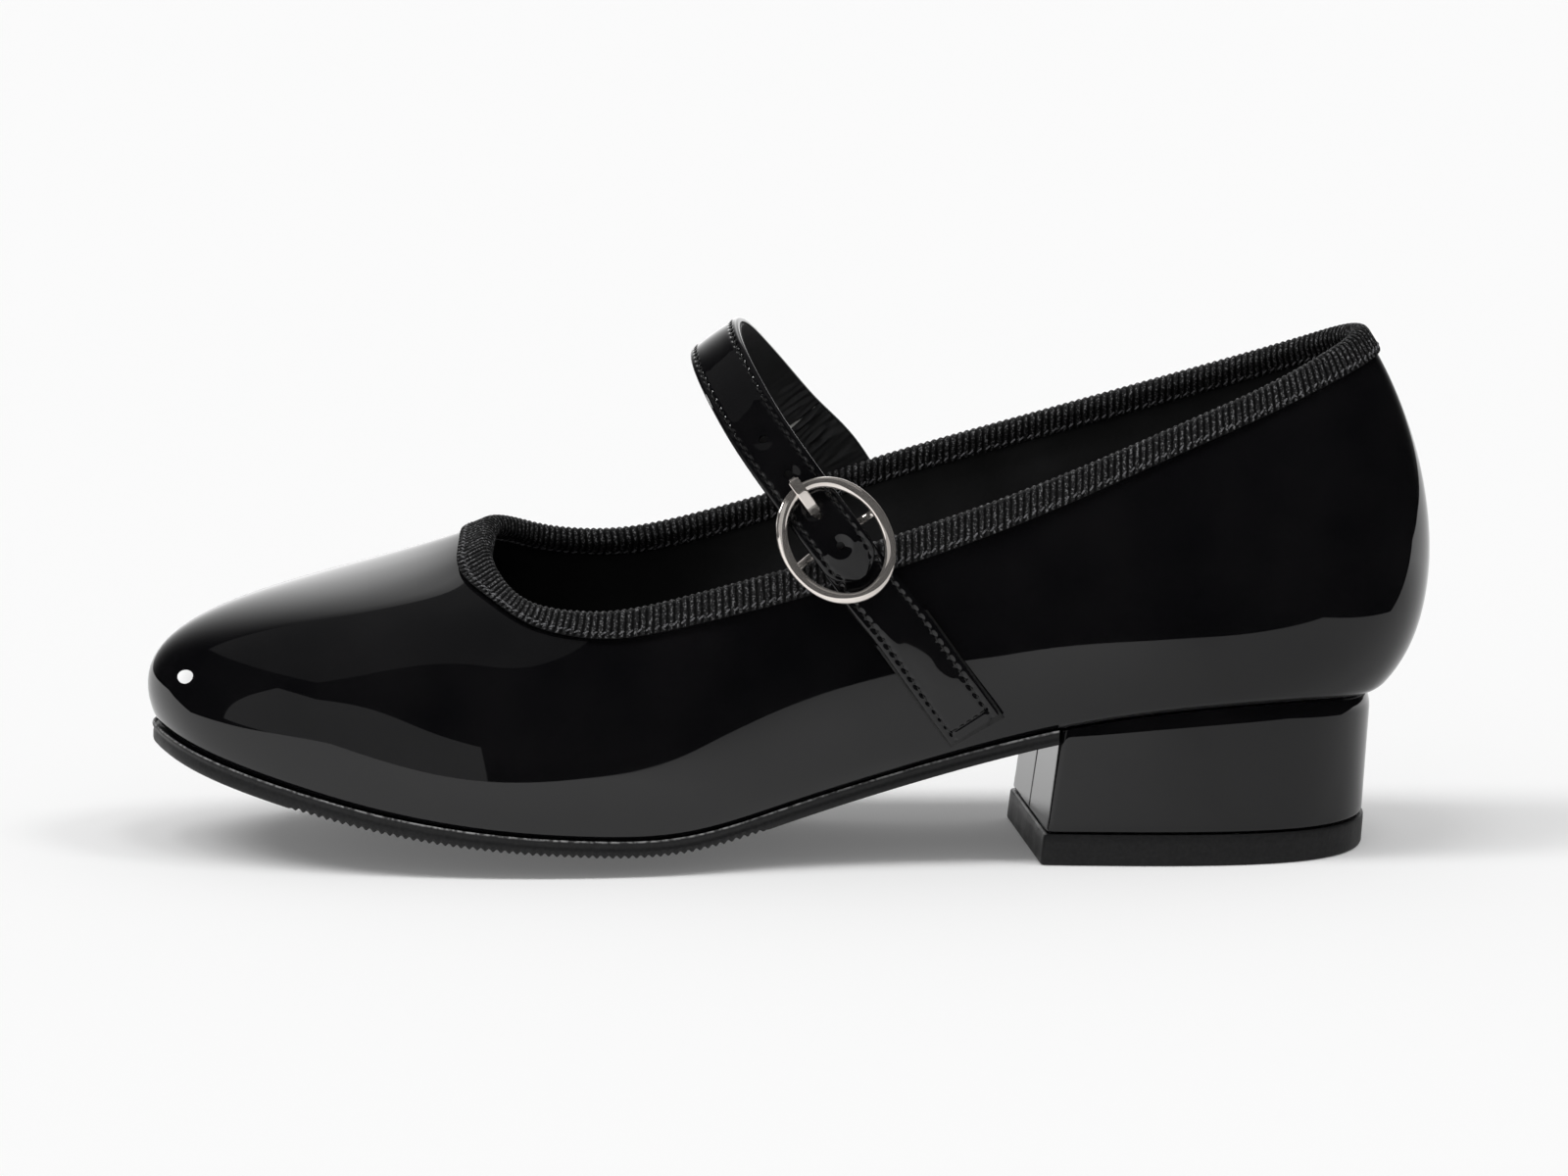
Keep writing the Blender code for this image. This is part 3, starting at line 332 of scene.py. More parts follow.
def maths(tree, operation, first, second):
    node = tree.nodes.new("ShaderNodeMath")
    node.operation = operation
    for slot, value in zip(node.inputs, (first, second)):
        if isinstance(value, (int, float)):
            slot.default_value = value
        else:
            tree.links.new(value, slot)
    return node.outputs["Value"]


def crest_of(tree):
    node = tree.nodes.new("ShaderNodeAttribute")
    node.attribute_name = "crest"
    return node.outputs["Fac"]


def grosgrain():
    """Ribbed ribbon: dark between the ribs, with painted highlights dotted along the crest of each rib."""
    made, tree, shader = shader_material("grosgrain", (0.02, 0.02, 0.021), 0.65)
    shader.inputs["Sheen Weight"].default_value = 0.03
    shader.inputs["Specular IOR Level"].default_value = 0.2
    shader.inputs["Sheen Roughness"].default_value = 0.4
    # threads is noise for the real thread bumps and roughness, and it also places the painted highlight
    # dots.
    threads = add_noise(tree, 2700, 2.0)
    painted_glint_dots = remap(tree, threads, 0.07, 1.0, 0.52, 0.68)
    # Painted highlight: lighter towards each rib's crest, broken into dots.
    light = maths(tree, "MULTIPLY", remap(tree, crest_of(tree), 0.02, 1.0, 0.35, 0.95), painted_glint_dots)
    vary_colour(tree, shader, light, (0.003, 0.003, 0.0032), (0.19, 0.19, 0.195), 0.0, 1.0)
    tree.links.new(remap(tree, threads, 0.8, 0.5), shader.inputs["Roughness"])
    add_bump(tree, shader, [(threads, 1.2e-4)])
    return made


def grained_leather(name, light, roughness, depth, scale=700):
    made, tree, shader = shader_material(name, light, roughness)
    grain = tree.nodes.new("ShaderNodeTexVoronoi")
    grain.feature = "DISTANCE_TO_EDGE"
    grain.inputs["Scale"].default_value = scale
    coords = tree.nodes.new("ShaderNodeTexCoord")
    tree.links.new(coords.outputs["Object"], grain.inputs["Vector"])
    patches = add_noise(tree, 70)
    vary_colour(tree, shader, patches, tuple(c * 0.6 for c in light), light)
    tree.links.new(remap(tree, patches, roughness - 0.08, roughness + 0.1), shader.inputs["Roughness"])
    add_bump(tree, shader, [(grain.outputs["Distance"], depth), (add_noise(tree, 2200), depth * 0.3)])
    return made


def sole_rubber():
    """Moulded rubber, with a painted highlight dotted along the crest of its bead."""
    made, tree, shader = shader_material("sole_rubber", (0.014, 0.014, 0.0145), 0.42)
    shader.inputs["Specular IOR Level"].default_value = 0.18
    speckle = add_noise(tree, 1500, 5.0)
    bead_glint_dots = remap(tree, add_noise(tree, 1300, 2.0), 0.15, 1.0, 0.4, 0.62)
    # Painted highlight line along the bead's crest, broken into dots.
    painted_bead_highlight = maths(tree, "MULTIPLY", crest_of(tree), bead_glint_dots)
    light = maths(tree, "ADD", maths(tree, "MULTIPLY", painted_bead_highlight, 0.95), maths(tree, "MULTIPLY", speckle, 0.05))
    vary_colour(tree, shader, light, (0.008, 0.008, 0.0085), (0.3, 0.3, 0.3), 0.0, 1.0)
    tree.links.new(remap(tree, add_noise(tree, 160), 0.34, 0.48), shader.inputs["Roughness"])
    add_bump(tree, shader, [(speckle, 5e-5)])
    return made


def plated(name, colour, roughness, metallic=1.0):
    made, tree, shader = shader_material(name, colour, roughness, metallic)
    scuffs = add_noise(tree, 500, 6.0, stretch=(1, 1, 3))
    tree.links.new(remap(tree, scuffs, roughness * 0.6, roughness * 1.8), shader.inputs["Roughness"])
    add_bump(tree, shader, [(scuffs, 1.5e-6)])
    return made


def matt(name, dark, light, roughness, scale, depth):
    made, tree, shader = shader_material(name, light, roughness)
    fibres = add_noise(tree, scale, 6.0)
    vary_colour(tree, shader, fibres, dark, light)
    tree.links.new(remap(tree, fibres, roughness + 0.05, roughness - 0.1), shader.inputs["Roughness"])
    add_bump(tree, shader, [(fibres, depth)])
    return made


LOOKS = {
    "patent": patent_leather("patent", 2.5e-5),
    "strap_patent": patent_leather("strap_patent", 1.5e-5),
    "grosgrain": grosgrain(),
    "lining_leather": grained_leather("lining_leather", (0.028, 0.028, 0.029), 0.55, 5e-5),
    "insock": grained_leather("insock", (0.014, 0.014, 0.0145), 0.45, 3e-5, 1100),
    "sole_rubber": sole_rubber(),
    "nickel": plated("nickel", (0.90, 0.84, 0.79), 0.08, 0.88),
    "steel": plated("steel", (0.55, 0.55, 0.56), 0.3),
    "fibreboard": matt("fibreboard", (0.30, 0.23, 0.15), (0.48, 0.38, 0.27), 0.85, 900, 6e-5),
    "foam": matt("foam", (0.42, 0.42, 0.40), (0.60, 0.60, 0.57), 0.9, 1800, 1e-4),
    "cork": matt("cork", (0.22, 0.13, 0.07), (0.48, 0.33, 0.2), 0.9, 420, 1e-4),
    "stiffener": matt("stiffener", (0.6, 0.57, 0.5), (0.74, 0.72, 0.66), 0.8, 700, 4e-5),
    "heel_plastic": matt("heel_plastic", (0.035, 0.035, 0.035), (0.06, 0.06, 0.06), 0.5, 300, 2e-5),
}
THREAD = matt("thread", (0.004, 0.004, 0.004), (0.02, 0.02, 0.02), 0.42, 3000, 3e-5)
# Near-black matt look for the painted shade rim round the lower buckle strap.
SHADE_RIM_LOOK = matt("painted_shade_rim", (0.003, 0.003, 0.003), (0.009, 0.009, 0.009), 0.6, 1400, 6e-5)
BINDING_THREAD = matt("binding_thread", (0.03, 0.03, 0.031), (0.2, 0.2, 0.21), 0.5, 3000, 3e-5)


# Mesh helpers

MERGE, SHARP = 2e-6, 50


def grid_faces(rows, columns, wrap_rows=False, wrap_columns=False):
    i = np.arange(rows if wrap_rows else rows - 1)[:, None]
    j = np.arange(columns if wrap_columns else columns - 1)[None, :]
    k, m = (i + 1) % rows, (j + 1) % columns
    corners = (i * columns + j, k * columns + j, k * columns + m, i * columns + m)
    return np.stack(np.broadcast_arrays(*corners), -1).reshape(-1, 4).tolist()


def capped_faces(rows, columns, start=0):
    """Faces of a bar of closed sections with both ends closed."""
    faces = grid_faces(rows, columns, False, True)
    faces += [list(range(columns)), list(range((rows - 1) * columns, rows * columns))]
    return [[start + i for i in face] for face in faces]


def round_angles(count):
    return np.linspace(0, 2 * np.pi, count, endpoint=False)


def new_mesh(name, places, faces):
    """Mesh in metres from places in the tables' millimetres."""
    mesh = bpy.data.meshes.new(name)
    mesh.from_pydata(((np.asarray(places).reshape(-1, 3) - CENTRE) * MM).tolist(), [], faces)
    return mesh


def face_outwards(mesh, merge=0.0):
    """Turns the faces outwards, after joining places closer than merge metres."""
    work = bmesh.new()
    work.from_mesh(mesh)
    if merge:
        bmesh.ops.remove_doubles(work, verts=work.verts, dist=merge)
    bmesh.ops.recalc_face_normals(work, faces=work.faces)
    work.to_mesh(mesh)
    work.free()


def shade(mesh, sharp):
    mesh.shade_smooth()
    mesh.set_sharp_from_angle(angle=math.radians(sharp))


def add_object(name, data):
    made = bpy.data.objects.new(name, data)
    bpy.context.scene.collection.objects.link(made)
    return made


def cut_or_join(piece, other, operation):
    """Replaces the piece's mesh with its difference from or union with the other's."""
    modifier = piece.modifiers.new("shape", "BOOLEAN")
    modifier.operation = operation
    modifier.object = other
    modifier.solver = "EXACT"
    bpy.context.view_layer.update()
    graph = bpy.context.evaluated_depsgraph_get()
    mesh = bpy.data.meshes.new_from_object(piece.evaluated_get(graph))
    piece.modifiers.clear()
    piece.data = mesh
    shade(mesh, SHARP)


def add_piece(name, places, faces, slot, body="shoe", look=None, sharp=SHARP, crest=None):
    """Piece from places in the tables' millimetres, smooth; crest marks the ridges where its material paints
    highlights.
    """
    mesh = new_mesh(name, places, faces)
    if crest is not None:
        layer = mesh.attributes.new("crest", "FLOAT", "POINT")
        layer.data.foreach_set("value", np.asarray(crest, float).ravel())
    face_outwards(mesh, MERGE)
    shade(mesh, sharp)
    piece = add_object(name, mesh)
    mesh.materials.append(look or LOOKS[slot])
    if body:
        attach(piece, body)
    return piece


def hoop(name, places, slot, **more):
    """Closed ring; places[i][j] is point j of section i."""
    rows, columns = places.shape[:2]
    return add_piece(name, places, grid_faces(rows, columns, True, True), slot, **more)


def sweep(name, places, slot, **more):
    """Bar through closed sections, capped at both ends."""
    rows, columns = places.shape[:2]
    return add_piece(name, places, capped_faces(rows, columns), slot, **more)


def columns_of(places):
    return [places[:, j] for j in range(places.shape[1])]


def waves(places, size, seed=0.0):
    """Smooth noise from -1 to 1 at each place; size is its wavelength in millimetres."""
    flat = np.asarray(places).reshape(-1, 3) / size + seed
    found = np.array([noise.noise(Vector(p)) for p in flat])
    return found.reshape(np.shape(places)[:-1])


THREAD_RADIUS = 0.16
THREAD_SECTIONS = [
    (-0.5, 0.45, 0.9), (-0.38, 0.85, 0.35), (-0.15, 1.0, 0.0), (0.15, 1.0, 0.0), (0.38, 0.85, 0.35),
    (0.5, 0.45, 0.9),
]


def stitches(name, centres, along, normals, length, slot, body="shoe", slant=0.0, look=THREAD):
    """Row of threads, each a short round bar that dips at both ends; sections are (at, wide, low)."""
    along, normals = unit(along), unit(normals)
    side = np.cross(normals, along)
    along = unit(along + slant * side)
    side = np.cross(normals, along)
    angles = round_angles(8)
    places, faces = [], []
    for centre, t, s, n in zip(centres, along, side, normals):
        start = len(places)
        for at, wide, low in THREAD_SECTIONS:
            middle = centre + at * length * t - low * THREAD_RADIUS * n
            reach = wide * THREAD_RADIUS
            places += [middle + reach * (math.cos(a) * s + math.sin(a) * n) for a in angles]
        faces += capped_faces(len(THREAD_SECTIONS), len(angles), start)
    return add_piece(name, places, faces, slot, body=body, look=look)


# Upper, lining and binding

EDGE_DOWN = 0.9
LINING_FACE = UPPER_THICK + 1.5 * GAP
UPPER_FOLDS = (2.0, 7.0, 12.0)
LINING_FOLDS = ((4.4, 0.0), (9.0, 0.0), (9.0, LINING_THICK), (5.1, LINING_THICK))
RIPPLE_HIGH, RIPPLE_LONG, LINING_RIPPLE_HIGH, LINING_RIPPLE_LONG = 0.05, 17.0, 0.12, 9.0


def ends_only(lap):
    """1 round the toe and round the heel, where a stiffener lies between upper and lining."""
    away = np.abs((lap + 0.25) % 0.5 - 0.25)
    reach = np.where(np.abs((lap + 0.5) % 1 - 0.5) < 0.25, 0.125, 0.155)
    return np.clip((reach + 0.03 - away) / 0.03, 0, 1)


def lining_depth(laps, down):
    spare = (STIFFENER_THICK + GAP) * ends_only(laps)[:, None] * np.clip((down - 7) / 5, 0, 1)
    return LINING_FACE + spare


def turned_under(laps, last_row, corner, insets, lift):
    """Rows that round the feather edge and run in under the foot, for each lap."""
    first = under(laps, insets[0], lift)
    bend = [
        (1 - f) ** 2 * last_row + 2 * f * (1 - f) * corner + f**2 * first
        for f in np.linspace(0, 1, 7)[1:]
    ]
    return bend + [under(laps, inset, lift) for inset in insets[1:]]


def make_upper():
    laps = np.arange(560) / 560
    length = wall_length(laps)[:, None]
    down = EDGE_DOWN + np.linspace(0, 0.965, 56)[None, :] * (length - EDGE_DOWN)
    face = wall(laps, down, 0.0)
    normal = wall(laps, down, 1.0) - face
    calm = np.clip((length - down) / 12, 0, 1) * np.clip((down - 5) / 6, 0, 1)
    face += normal * (RIPPLE_HIGH * waves(face, RIPPLE_LONG) * calm)[..., None]
    corner = on_column(laps, 0 * laps)
    rows = columns_of(face)
    rows += turned_under(laps, rows[-1], corner, UPPER_FOLDS, 0.0)
    rows += [under(laps, inset, UPPER_THICK) for inset in (12.0, 7.0, 2.6)]
    inside = wall(laps, np.minimum(down[:, ::-5], length - UPPER_THICK), -UPPER_THICK)
    rows += columns_of(inside)
    upper = hoop("patent_upper", np.stack(rows, 1), "patent")
    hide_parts("upper")


def make_lining():
    laps = np.arange(300) / 300
    length = wall_length(laps)[:, None]
    share = np.linspace(0, 0.84, 34)[None, :]
    down = EDGE_DOWN + share * (length - EDGE_DOWN)
    depth = lining_depth(laps, down)
    outer, inner = wall(laps, down, -depth), wall(laps, down, -depth - LINING_THICK)
    ripple = LINING_RIPPLE_HIGH * waves(inner, LINING_RIPPLE_LONG, 3.0)
    inner += (inner - outer) / LINING_THICK * ripple[..., None] * fade(down, 6, 6)[..., None]
    rows = columns_of(outer)
    rows += [under(laps, inset, UPPER_THICK + GAP + lift) for inset, lift in LINING_FOLDS]
    rows += columns_of(inner)[::-1]
    lining = hoop("leather_lining", np.stack(rows, 1), "lining_leather")
    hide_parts("lining")


def even_laps(count, down):
    """Laps that share the top line's length evenly, and the spacing in millimetres."""
    dense = np.linspace(0, 1, 4001)
    line = wall(dense, np.array([down]), 0.0)[:, 0]
    run = run_along(line)
    return np.interp(np.arange(count) / count * run[-1], run, dense), run[-1] / count


RIB_PITCH, RIB_HIGH, RIB_SAMPLES = 1.28, 0.3, 6
RIBBON_BACK = 0.45
BINDING_EXTRA, THROAT_EXTRA, THROAT_CORNER, THROAT_SPREAD = 1.06, 0.34, 0.055, 0.035
SEAM_DOWN, SEAM_OUT, SEAM_DOWN_INNER, SEAM_OUT_INNER = BINDING_WIDE - 1.0, 0.92, 3.7, -3.28


def binding_profile():
    """Ribbon's face from its outer edge over the top to its inner edge: down, out and direction out."""
    face, inside = GAP + BINDING_THICK, LINING_FACE + LINING_THICK + GAP + BINDING_THICK
    middle, half, round_from = (face - inside) / 2, (face + inside) / 2, 1.5
    rows = [(d, face, 0.0, 1.0) for d in np.linspace(BINDING_WIDE, round_from, 12)[:-1]]
    for a in np.linspace(0, np.pi, 13):
        rows.append((round_from - 1.7 * math.sin(a), middle + half * math.cos(a), -math.sin(a), math.cos(a)))
    rows += [(d, -inside, 0.0, -1.0) for d in np.linspace(round_from, BINDING_WIDE - 0.8, 9)[1:]]
    return np.array(rows)


def binding_spread(laps):
    """How much wider the ribbon lies on the outer face: it fans out round both corners of the throat."""
    from_throat = np.abs((laps + 0.5) % 1 - 0.5)
    return BINDING_EXTRA + THROAT_EXTRA * np.exp(-(((from_throat - THROAT_CORNER) / THROAT_SPREAD) ** 2))


def make_binding():
    _, length = even_laps(1, 2.5)
    ribs = round(length / RIB_PITCH)
    laps, _ = even_laps(ribs * RIB_SAMPLES, 2.5)
    profile = binding_profile()
    phase = np.arange(len(laps)) / RIB_SAMPLES
    ridge = (0.5 + 0.5 * np.cos(2 * np.pi * phase))[:, None] ** 0.7
    rib = RIB_HIGH * ridge
    edges = np.ones(len(profile))
    edges[[0, -1]] = 0.2
    rise = (rib - RIB_HIGH * 0.6) * edges
    on_face = (profile[:, 1] > 0) * (profile[:, 0] > 0)
    spread = binding_spread(laps)[:, None] - 1
    down = profile[:, 0] * (1 + spread * on_face) + rise * profile[:, 2]
    out = profile[:, 1] + rise * profile[:, 3]
    back = profile[::-3]
    behind = back[:, 0] * (1 + spread * on_face[::-3]) - RIBBON_BACK * back[:, 2]
    down = np.concatenate([down, behind], 1)
    back_out = np.broadcast_to(back[:, 1] - RIBBON_BACK * back[:, 3], (len(laps), len(back)))
    out = np.concatenate([out, back_out], 1)
    # crest is the rib height; the ribbon paints its highlight dots by it, a little at both edges.
    crest = np.broadcast_to(ridge, down.shape).copy()
    crest[:, [0, len(profile) - 1]] = 0.3
    binding = hoop("ribbon_binding", wall(laps, down, out), "grosgrain", crest=crest)
    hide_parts("topline_binding")
    for name, at_down, out, sign in (
            ("binding_stitches_outer", SEAM_DOWN, SEAM_OUT, 1),
            ("binding_stitches_inner", SEAM_DOWN_INNER, SEAM_OUT_INNER, -1)):
        centres_laps, pitch = even_laps(round(length / (RIB_PITCH * 1.25)), at_down)
        spread = binding_spread(centres_laps) if sign > 0 else np.ones(len(centres_laps))
        at_downs = (at_down * spread)[:, None]
        ahead = wall(centres_laps + 1e-4, at_downs, out)[:, 0]
        centres = wall(centres_laps, at_downs, out)[:, 0]
        normals = sign * (wall(centres_laps, at_downs, out + 1)[:, 0] - centres)
        stitches(name, centres, ahead - centres, normals, 1.15, "grosgrain", slant=0.55, look=BINDING_THREAD)


# Sole, insock and heel

RIB_START, RIB_END, SOLE_RIB_PITCH, SOLE_RIB_DEEP = -91.0, -3.0, 1.45, 0.55
BREAST_SIDES = (-25.0, 22.0)
SOLE_EDGE = [
    (-0.9, 0.0), (-0.5, 0.0), (-0.42, -0.3), (-0.3, -0.52), (-0.1, -0.58), (0.05, -0.42),
    (0.12, -0.15), (0.08, 0.15), (-0.06, 0.4), (-0.16, 0.62), (-0.12, 0.9), (-0.04, 1.2),
]
SOLE_BEAD = slice(4, 6)
HEEL_SHARES = np.array(
    [0.0, 0.008, 0.03, 0.1, 0.25, 0.4, 0.55, 0.7, 0.8, 0.87, 0.91, 0.94, 0.965, 0.985, 1.0])
TOP_PIECE_EDGE = [
    (-0.9, 0.0), (-0.45, 0.06), (-0.16, 0.22), (0.0, 0.55), (0.0, 2.0), (0.0, 4.0), (0.0, 5.35),
    (-0.12, 5.62), (-0.4, 5.76), (-0.9, 5.8),
]


def sole_rows_x():
    """x of each row on the outer and on the inner side: constant under the forepart, askew at the breast."""
    toe = TOE_X + (RIB_START - TOE_X) * np.linspace(0, 1, 60) ** 2
    ribs = np.arange(RIB_START, RIB_END, SOLE_RIB_PITCH / 6)[1:]
    share = np.linspace(0, 1, 60)
    ends = [breast_x(y) - GAP for y in BREAST_SIDES]
    return [np.concatenate([toe, ribs, RIB_END + (end - RIB_END) * share]) for end in ends]


def sole_sheet(rim, other, shares, drop):
    """Rows between two rims of the sole, this far below the underside of the last."""
    sheet = []
    for f in shares:
        flat = rim[:, -1, :2] * (1 - f) + other[:, -1, :2] * f
        below = GAP + drop(flat[:, 0])
        sheet.append(np.stack([flat[:, 0], flat[:, 1], last_bottom(flat[:, 0], flat[:, 1]) - below], -1))
    return np.stack(sheet, 1)


def sole_thick(x):
    return np.interp(x, *zip(*SOLE_THICK))


def make_outsole():
    """Sole with a rounded bead at its upper edge; the edge's points are (out, drop)."""
    xs = sole_rows_x()
    sides = []
    for inner, x in zip((False, True), xs):
        laps = lap_at_x(x, inner)
        thick = sole_thick(x)
        low = [(0.0, thick - 0.9), (-0.06, thick - 0.5), (-0.22, thick - 0.2), (-0.6, thick)]
        rows = []
        for out, drop in SOLE_EDGE + low:
            place = under(laps, -SOLE_EDGE_OUT - out, -GAP)
            place[:, 2] -= drop
            rows.append(place)
        sides.append(np.stack(rows, 1))
    outer, inner = sides
    bottom = sole_sheet(outer, inner, np.linspace(0, 1, 30)[1:-1], sole_thick)
    top = sole_sheet(inner[:, ::-1], outer[:, ::-1], np.linspace(0, 1, 8)[1:-1], lambda x: 0 * x)
    section = np.concatenate([outer, bottom, inner[:, ::-1], top], 1)
    x, y = section[..., 0], section[..., 1]
    depth = last_bottom(x, y) - GAP - section[..., 2]
    ribbed = fade(x, RIB_START, 2) * fade(-x, -RIB_END, 2)
    groove = 0.5 - 0.5 * np.cos(2 * np.pi * (x - RIB_START) / SOLE_RIB_PITCH)
    near_floor = fade(depth, sole_thick(x) - 1.25, 0.6)
    section[..., 2] += SOLE_RIB_DEEP * ribbed * groove * near_floor
    # crest marks the bead, where the rubber paints its highlight line.
    crest = np.zeros(section.shape[:2])
    crest[:, SOLE_BEAD] = 1.0
    piece = sweep("rubber_outsole", section, "sole_rubber", crest=crest)
    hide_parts("outsole")


def between_sides(sides, columns):
    across = np.linspace(0, 1, columns)[None, :, None]
    return sides[0][:, None] * (1 - across) + sides[1][:, None] * across


def make_sock():
    low = UPPER_THICK + GAP + LINING_THICK + GAP + 0.1 + 1.8 + GAP + 1.5 + GAP
    spread = (1 - np.cos(np.pi * np.linspace(0, 1, 90))) / 2
    sides = [under(start + (0.5 - start) * spread, 5.5)[:, :2] for start in (0.0, 1.0)]
    flat = between_sides(sides, 24)
    heights = last_bottom(flat[..., 0], flat[..., 1]) + low
    sheets = [np.concatenate([flat, (heights + lift)[..., None]], -1) for lift in (0.7, 0.0)]
    sheets[0][..., 2] += 0.1 * waves(sheets[0], 24.0, 5.0)
    section = np.concatenate([sheets[0], sheets[1][:, ::-1]], 1)
    piece = sweep("insock", section, "insock")
    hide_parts("sock_lining")


def smooth_loop(loop, count, spread):
    """Closed plan outline at even spacing, its corners rounded over about this many millimetres."""
    loop = np.concatenate([loop, loop[:1]])
    run = run_along(loop)
    at = np.arange(count) / count * run[-1]
    even = np.stack([np.interp(at, run, loop[:, k]) for k in (0, 1)], 1)
    offsets = (np.arange(count) + count // 2) % count - count // 2
    kernel = np.exp(-((offsets * run[-1] / count / spread) ** 2) / 2)
    spectrum = np.fft.fft(kernel / kernel.sum())[:, None]
    return np.fft.ifft(np.fft.fft(even, axis=0) * spectrum, axis=0).real


def heel_loop(inset, count=720):
    spread = np.sin(np.pi / 2 * np.linspace(0, 1, 80))
    sides = []
    for inner, y in zip((False, True), BREAST_SIDES):
        start = lap_at_x(breast_x(y) + inset - HEEL_INSET, inner)
        sides.append(under(start + (0.5 - start) * spread, inset)[:, :2])
    return smooth_loop(np.concatenate([sides[0], sides[1][-2::-1]]), count, 0.7)


def offset_loop(loop, distance):
    along = np.roll(loop, -1, 0) - np.roll(loop, 1, 0)
    normal = unit(np.stack([along[:, 1], -along[:, 0]], 1))
    middle = loop.mean(0)
    turn = np.sign(((loop - middle) * normal).sum())
    return loop + distance * turn * normal


def leaned(flat, height):
    moved = np.array(flat, float)
    lean = np.interp(moved[..., 0], [BREAST_X, HEEL_X], [BREAST_LEAN, BACK_LEAN])
    moved[..., 0] += lean * (height / HEEL_SEAT_HIGH - 1)
    return moved


def level(flat, height):
    return np.concatenate([flat, np.full((len(flat), 1), float(height))], 1)


def make_heel():
    low = TOP_PIECE_HIGH + GAP
    rows = []
    for inset, order in ((HEEL_INSET, 1), (HEEL_INSET + COVER_THICK, -1)):
        loop = heel_loop(inset)
        if order == 1:
            on_breast = np.clip((BREAST_X + 3 - loop[:, 0]) / 2, 0, 1)
            loop[:, 0] += 0.32 * on_breast * np.exp(-(((loop[:, 1] + 1.0) / 0.35) ** 2))
        foot = level(leaned(loop, low), low)
        seat = np.concatenate([loop, (last_bottom(loop[:, 0], loop[:, 1]) - GAP)[:, None]], 1)
        tuck = np.interp(HEEL_SHARES, [0, 0.008, 0.03], [0.35, 0.1, 0.0]) * (order == 1)
        shoulder = fade(HEEL_SHARES, 0.86, 0.14) ** 2 * (order == 1)
        deep = np.interp(loop[:, 0], [BREAST_X + 4, HEEL_X], [0.1, 0.8])[:, None]
        middle = loop.mean(0)
        inwards = unit(middle - loop)
        side = [foot * (1 - f) + seat * f for f in HEEL_SHARES]
        for row, t, bend in zip(side, tuck, shoulder):
            row[:, :2] += (t + bend * deep) * inwards
        rows += side[::order]
    cover = hoop("patent_heel_cover", np.stack(rows, 1), "patent")
    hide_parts("heel_cover")
    make_top_piece()


def make_top_piece():
    loop = heel_loop(HEEL_INSET - 0.4, 480)
    rows = [level(leaned(offset_loop(loop, out), z), z) for out, z in TOP_PIECE_EDGE]
    piece = sweep("rubber_top_piece", np.stack(rows), "sole_rubber", sharp=35)
    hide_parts("heel_top_piece")


# Straps

BUCKLE_X, BUCKLE_Z = 8.7, 61.4
RING_LONG, RING_WIDE, RING_WIRE = 24.5, 20.2, 1.0
RING_OUT, RING_DIP, RING_TWIST = 5.9, 0.4, 0.5
BAR_OUT, BAR_RADIUS = 3.6, 0.7
HINGE_INNER = (10.1, 67.3)
HINGE_SPLIT = 0.9
ROUND_POINTS = 24
STRAP_TIP, CREASE_HIGH, CREASE_ALONG, CREASE_ACROSS = 5.2, 0.95, 0.9, 5.0
LOOP_FOOT = (-7.0, 2.9)


def place_on_wall(x, z, inner=False):
    """Lap and down of the place on one wall that has this x and z."""
    lap, down = float(lap_at_x(x, inner)), 20.0

    def at(lap, down):
        return wall(np.array([lap]), np.array([down]), 0.0)[0, 0]

    for _ in range(25):
        here = at(lap, down)
        by_lap, by_down = (at(lap + 1e-4, down) - here) / 1e-4, (at(lap, down + 0.01) - here) / 0.01
        slope = np.array([[by_lap[0], by_down[0]], [by_lap[2], by_down[2]]])
        step = np.linalg.solve(slope, [x - here[0], z - here[2]])
        lap, down = lap + float(np.clip(step[0], -0.03, 0.03)), down + float(np.clip(step[1], -8, 8))
    return lap, down


def wall_frame(x, z, inner=False):
    lap, down = place_on_wall(x, z, inner)
    here = wall(np.array([lap]), np.array([down]), 0.0)[0, 0]
    return here, unit(wall(np.array([lap]), np.array([down]), 1.0)[0, 0] - here)


BUCKLE_AT, BUCKLE_OUT = wall_frame(BUCKLE_X, BUCKLE_Z)
UP_STRAP = np.array([-0.58, 0.0, 0.81])
STRAP_PLANE = unit(np.array([0.81, 0.0, 0.58]))
BUCKLE_UP = unit(UP_STRAP - BUCKLE_OUT * (UP_STRAP @ BUCKLE_OUT))
BUCKLE_SIDE = np.cross(BUCKLE_UP, BUCKLE_OUT)
HINGE_AT = wall_frame(*HINGE_INNER, inner=True)[0]


def at_buckle(up, out, side=0.0):
    return BUCKLE_AT + up * BUCKLE_UP + out * BUCKLE_OUT + side * BUCKLE_SIDE


def on_wall(x, z, out, inner=False):
    here, normal = wall_frame(x, z, inner)
    return [*(here + out * normal), *normal]


def in_buckle(up, out):
    return [*at_buckle(up, out), *BUCKLE_OUT]


ARCH = [
    (-5.2, -27.6, 81.2), (-9.9, -21.0, 88.8), (-12.4, -11.0, 93.4), (-12.4, 0.0, 94.6),
    (-10.2, 11.0, 92.2), (-5.2, 20.0, 85.6), (1.9, 25.2, 76.6),
]


def arch_rows():
    rows = []
    for before, here, after in zip(ARCH[:-2], ARCH[1:-1], ARCH[2:]):
        along = unit(np.array(after) - np.array(before))
        rows.append([*here, *unit(np.cross(STRAP_PLANE, along))])
    start_normal = unit(0.4 * np.array(rows[0][3:]) + 0.6 * BUCKLE_OUT)
    end_normal = unit(np.array([0.0, 1.0, 0.12]))
    return [[*ARCH[0], *start_normal]] + rows + [[*ARCH[-1], *end_normal]]


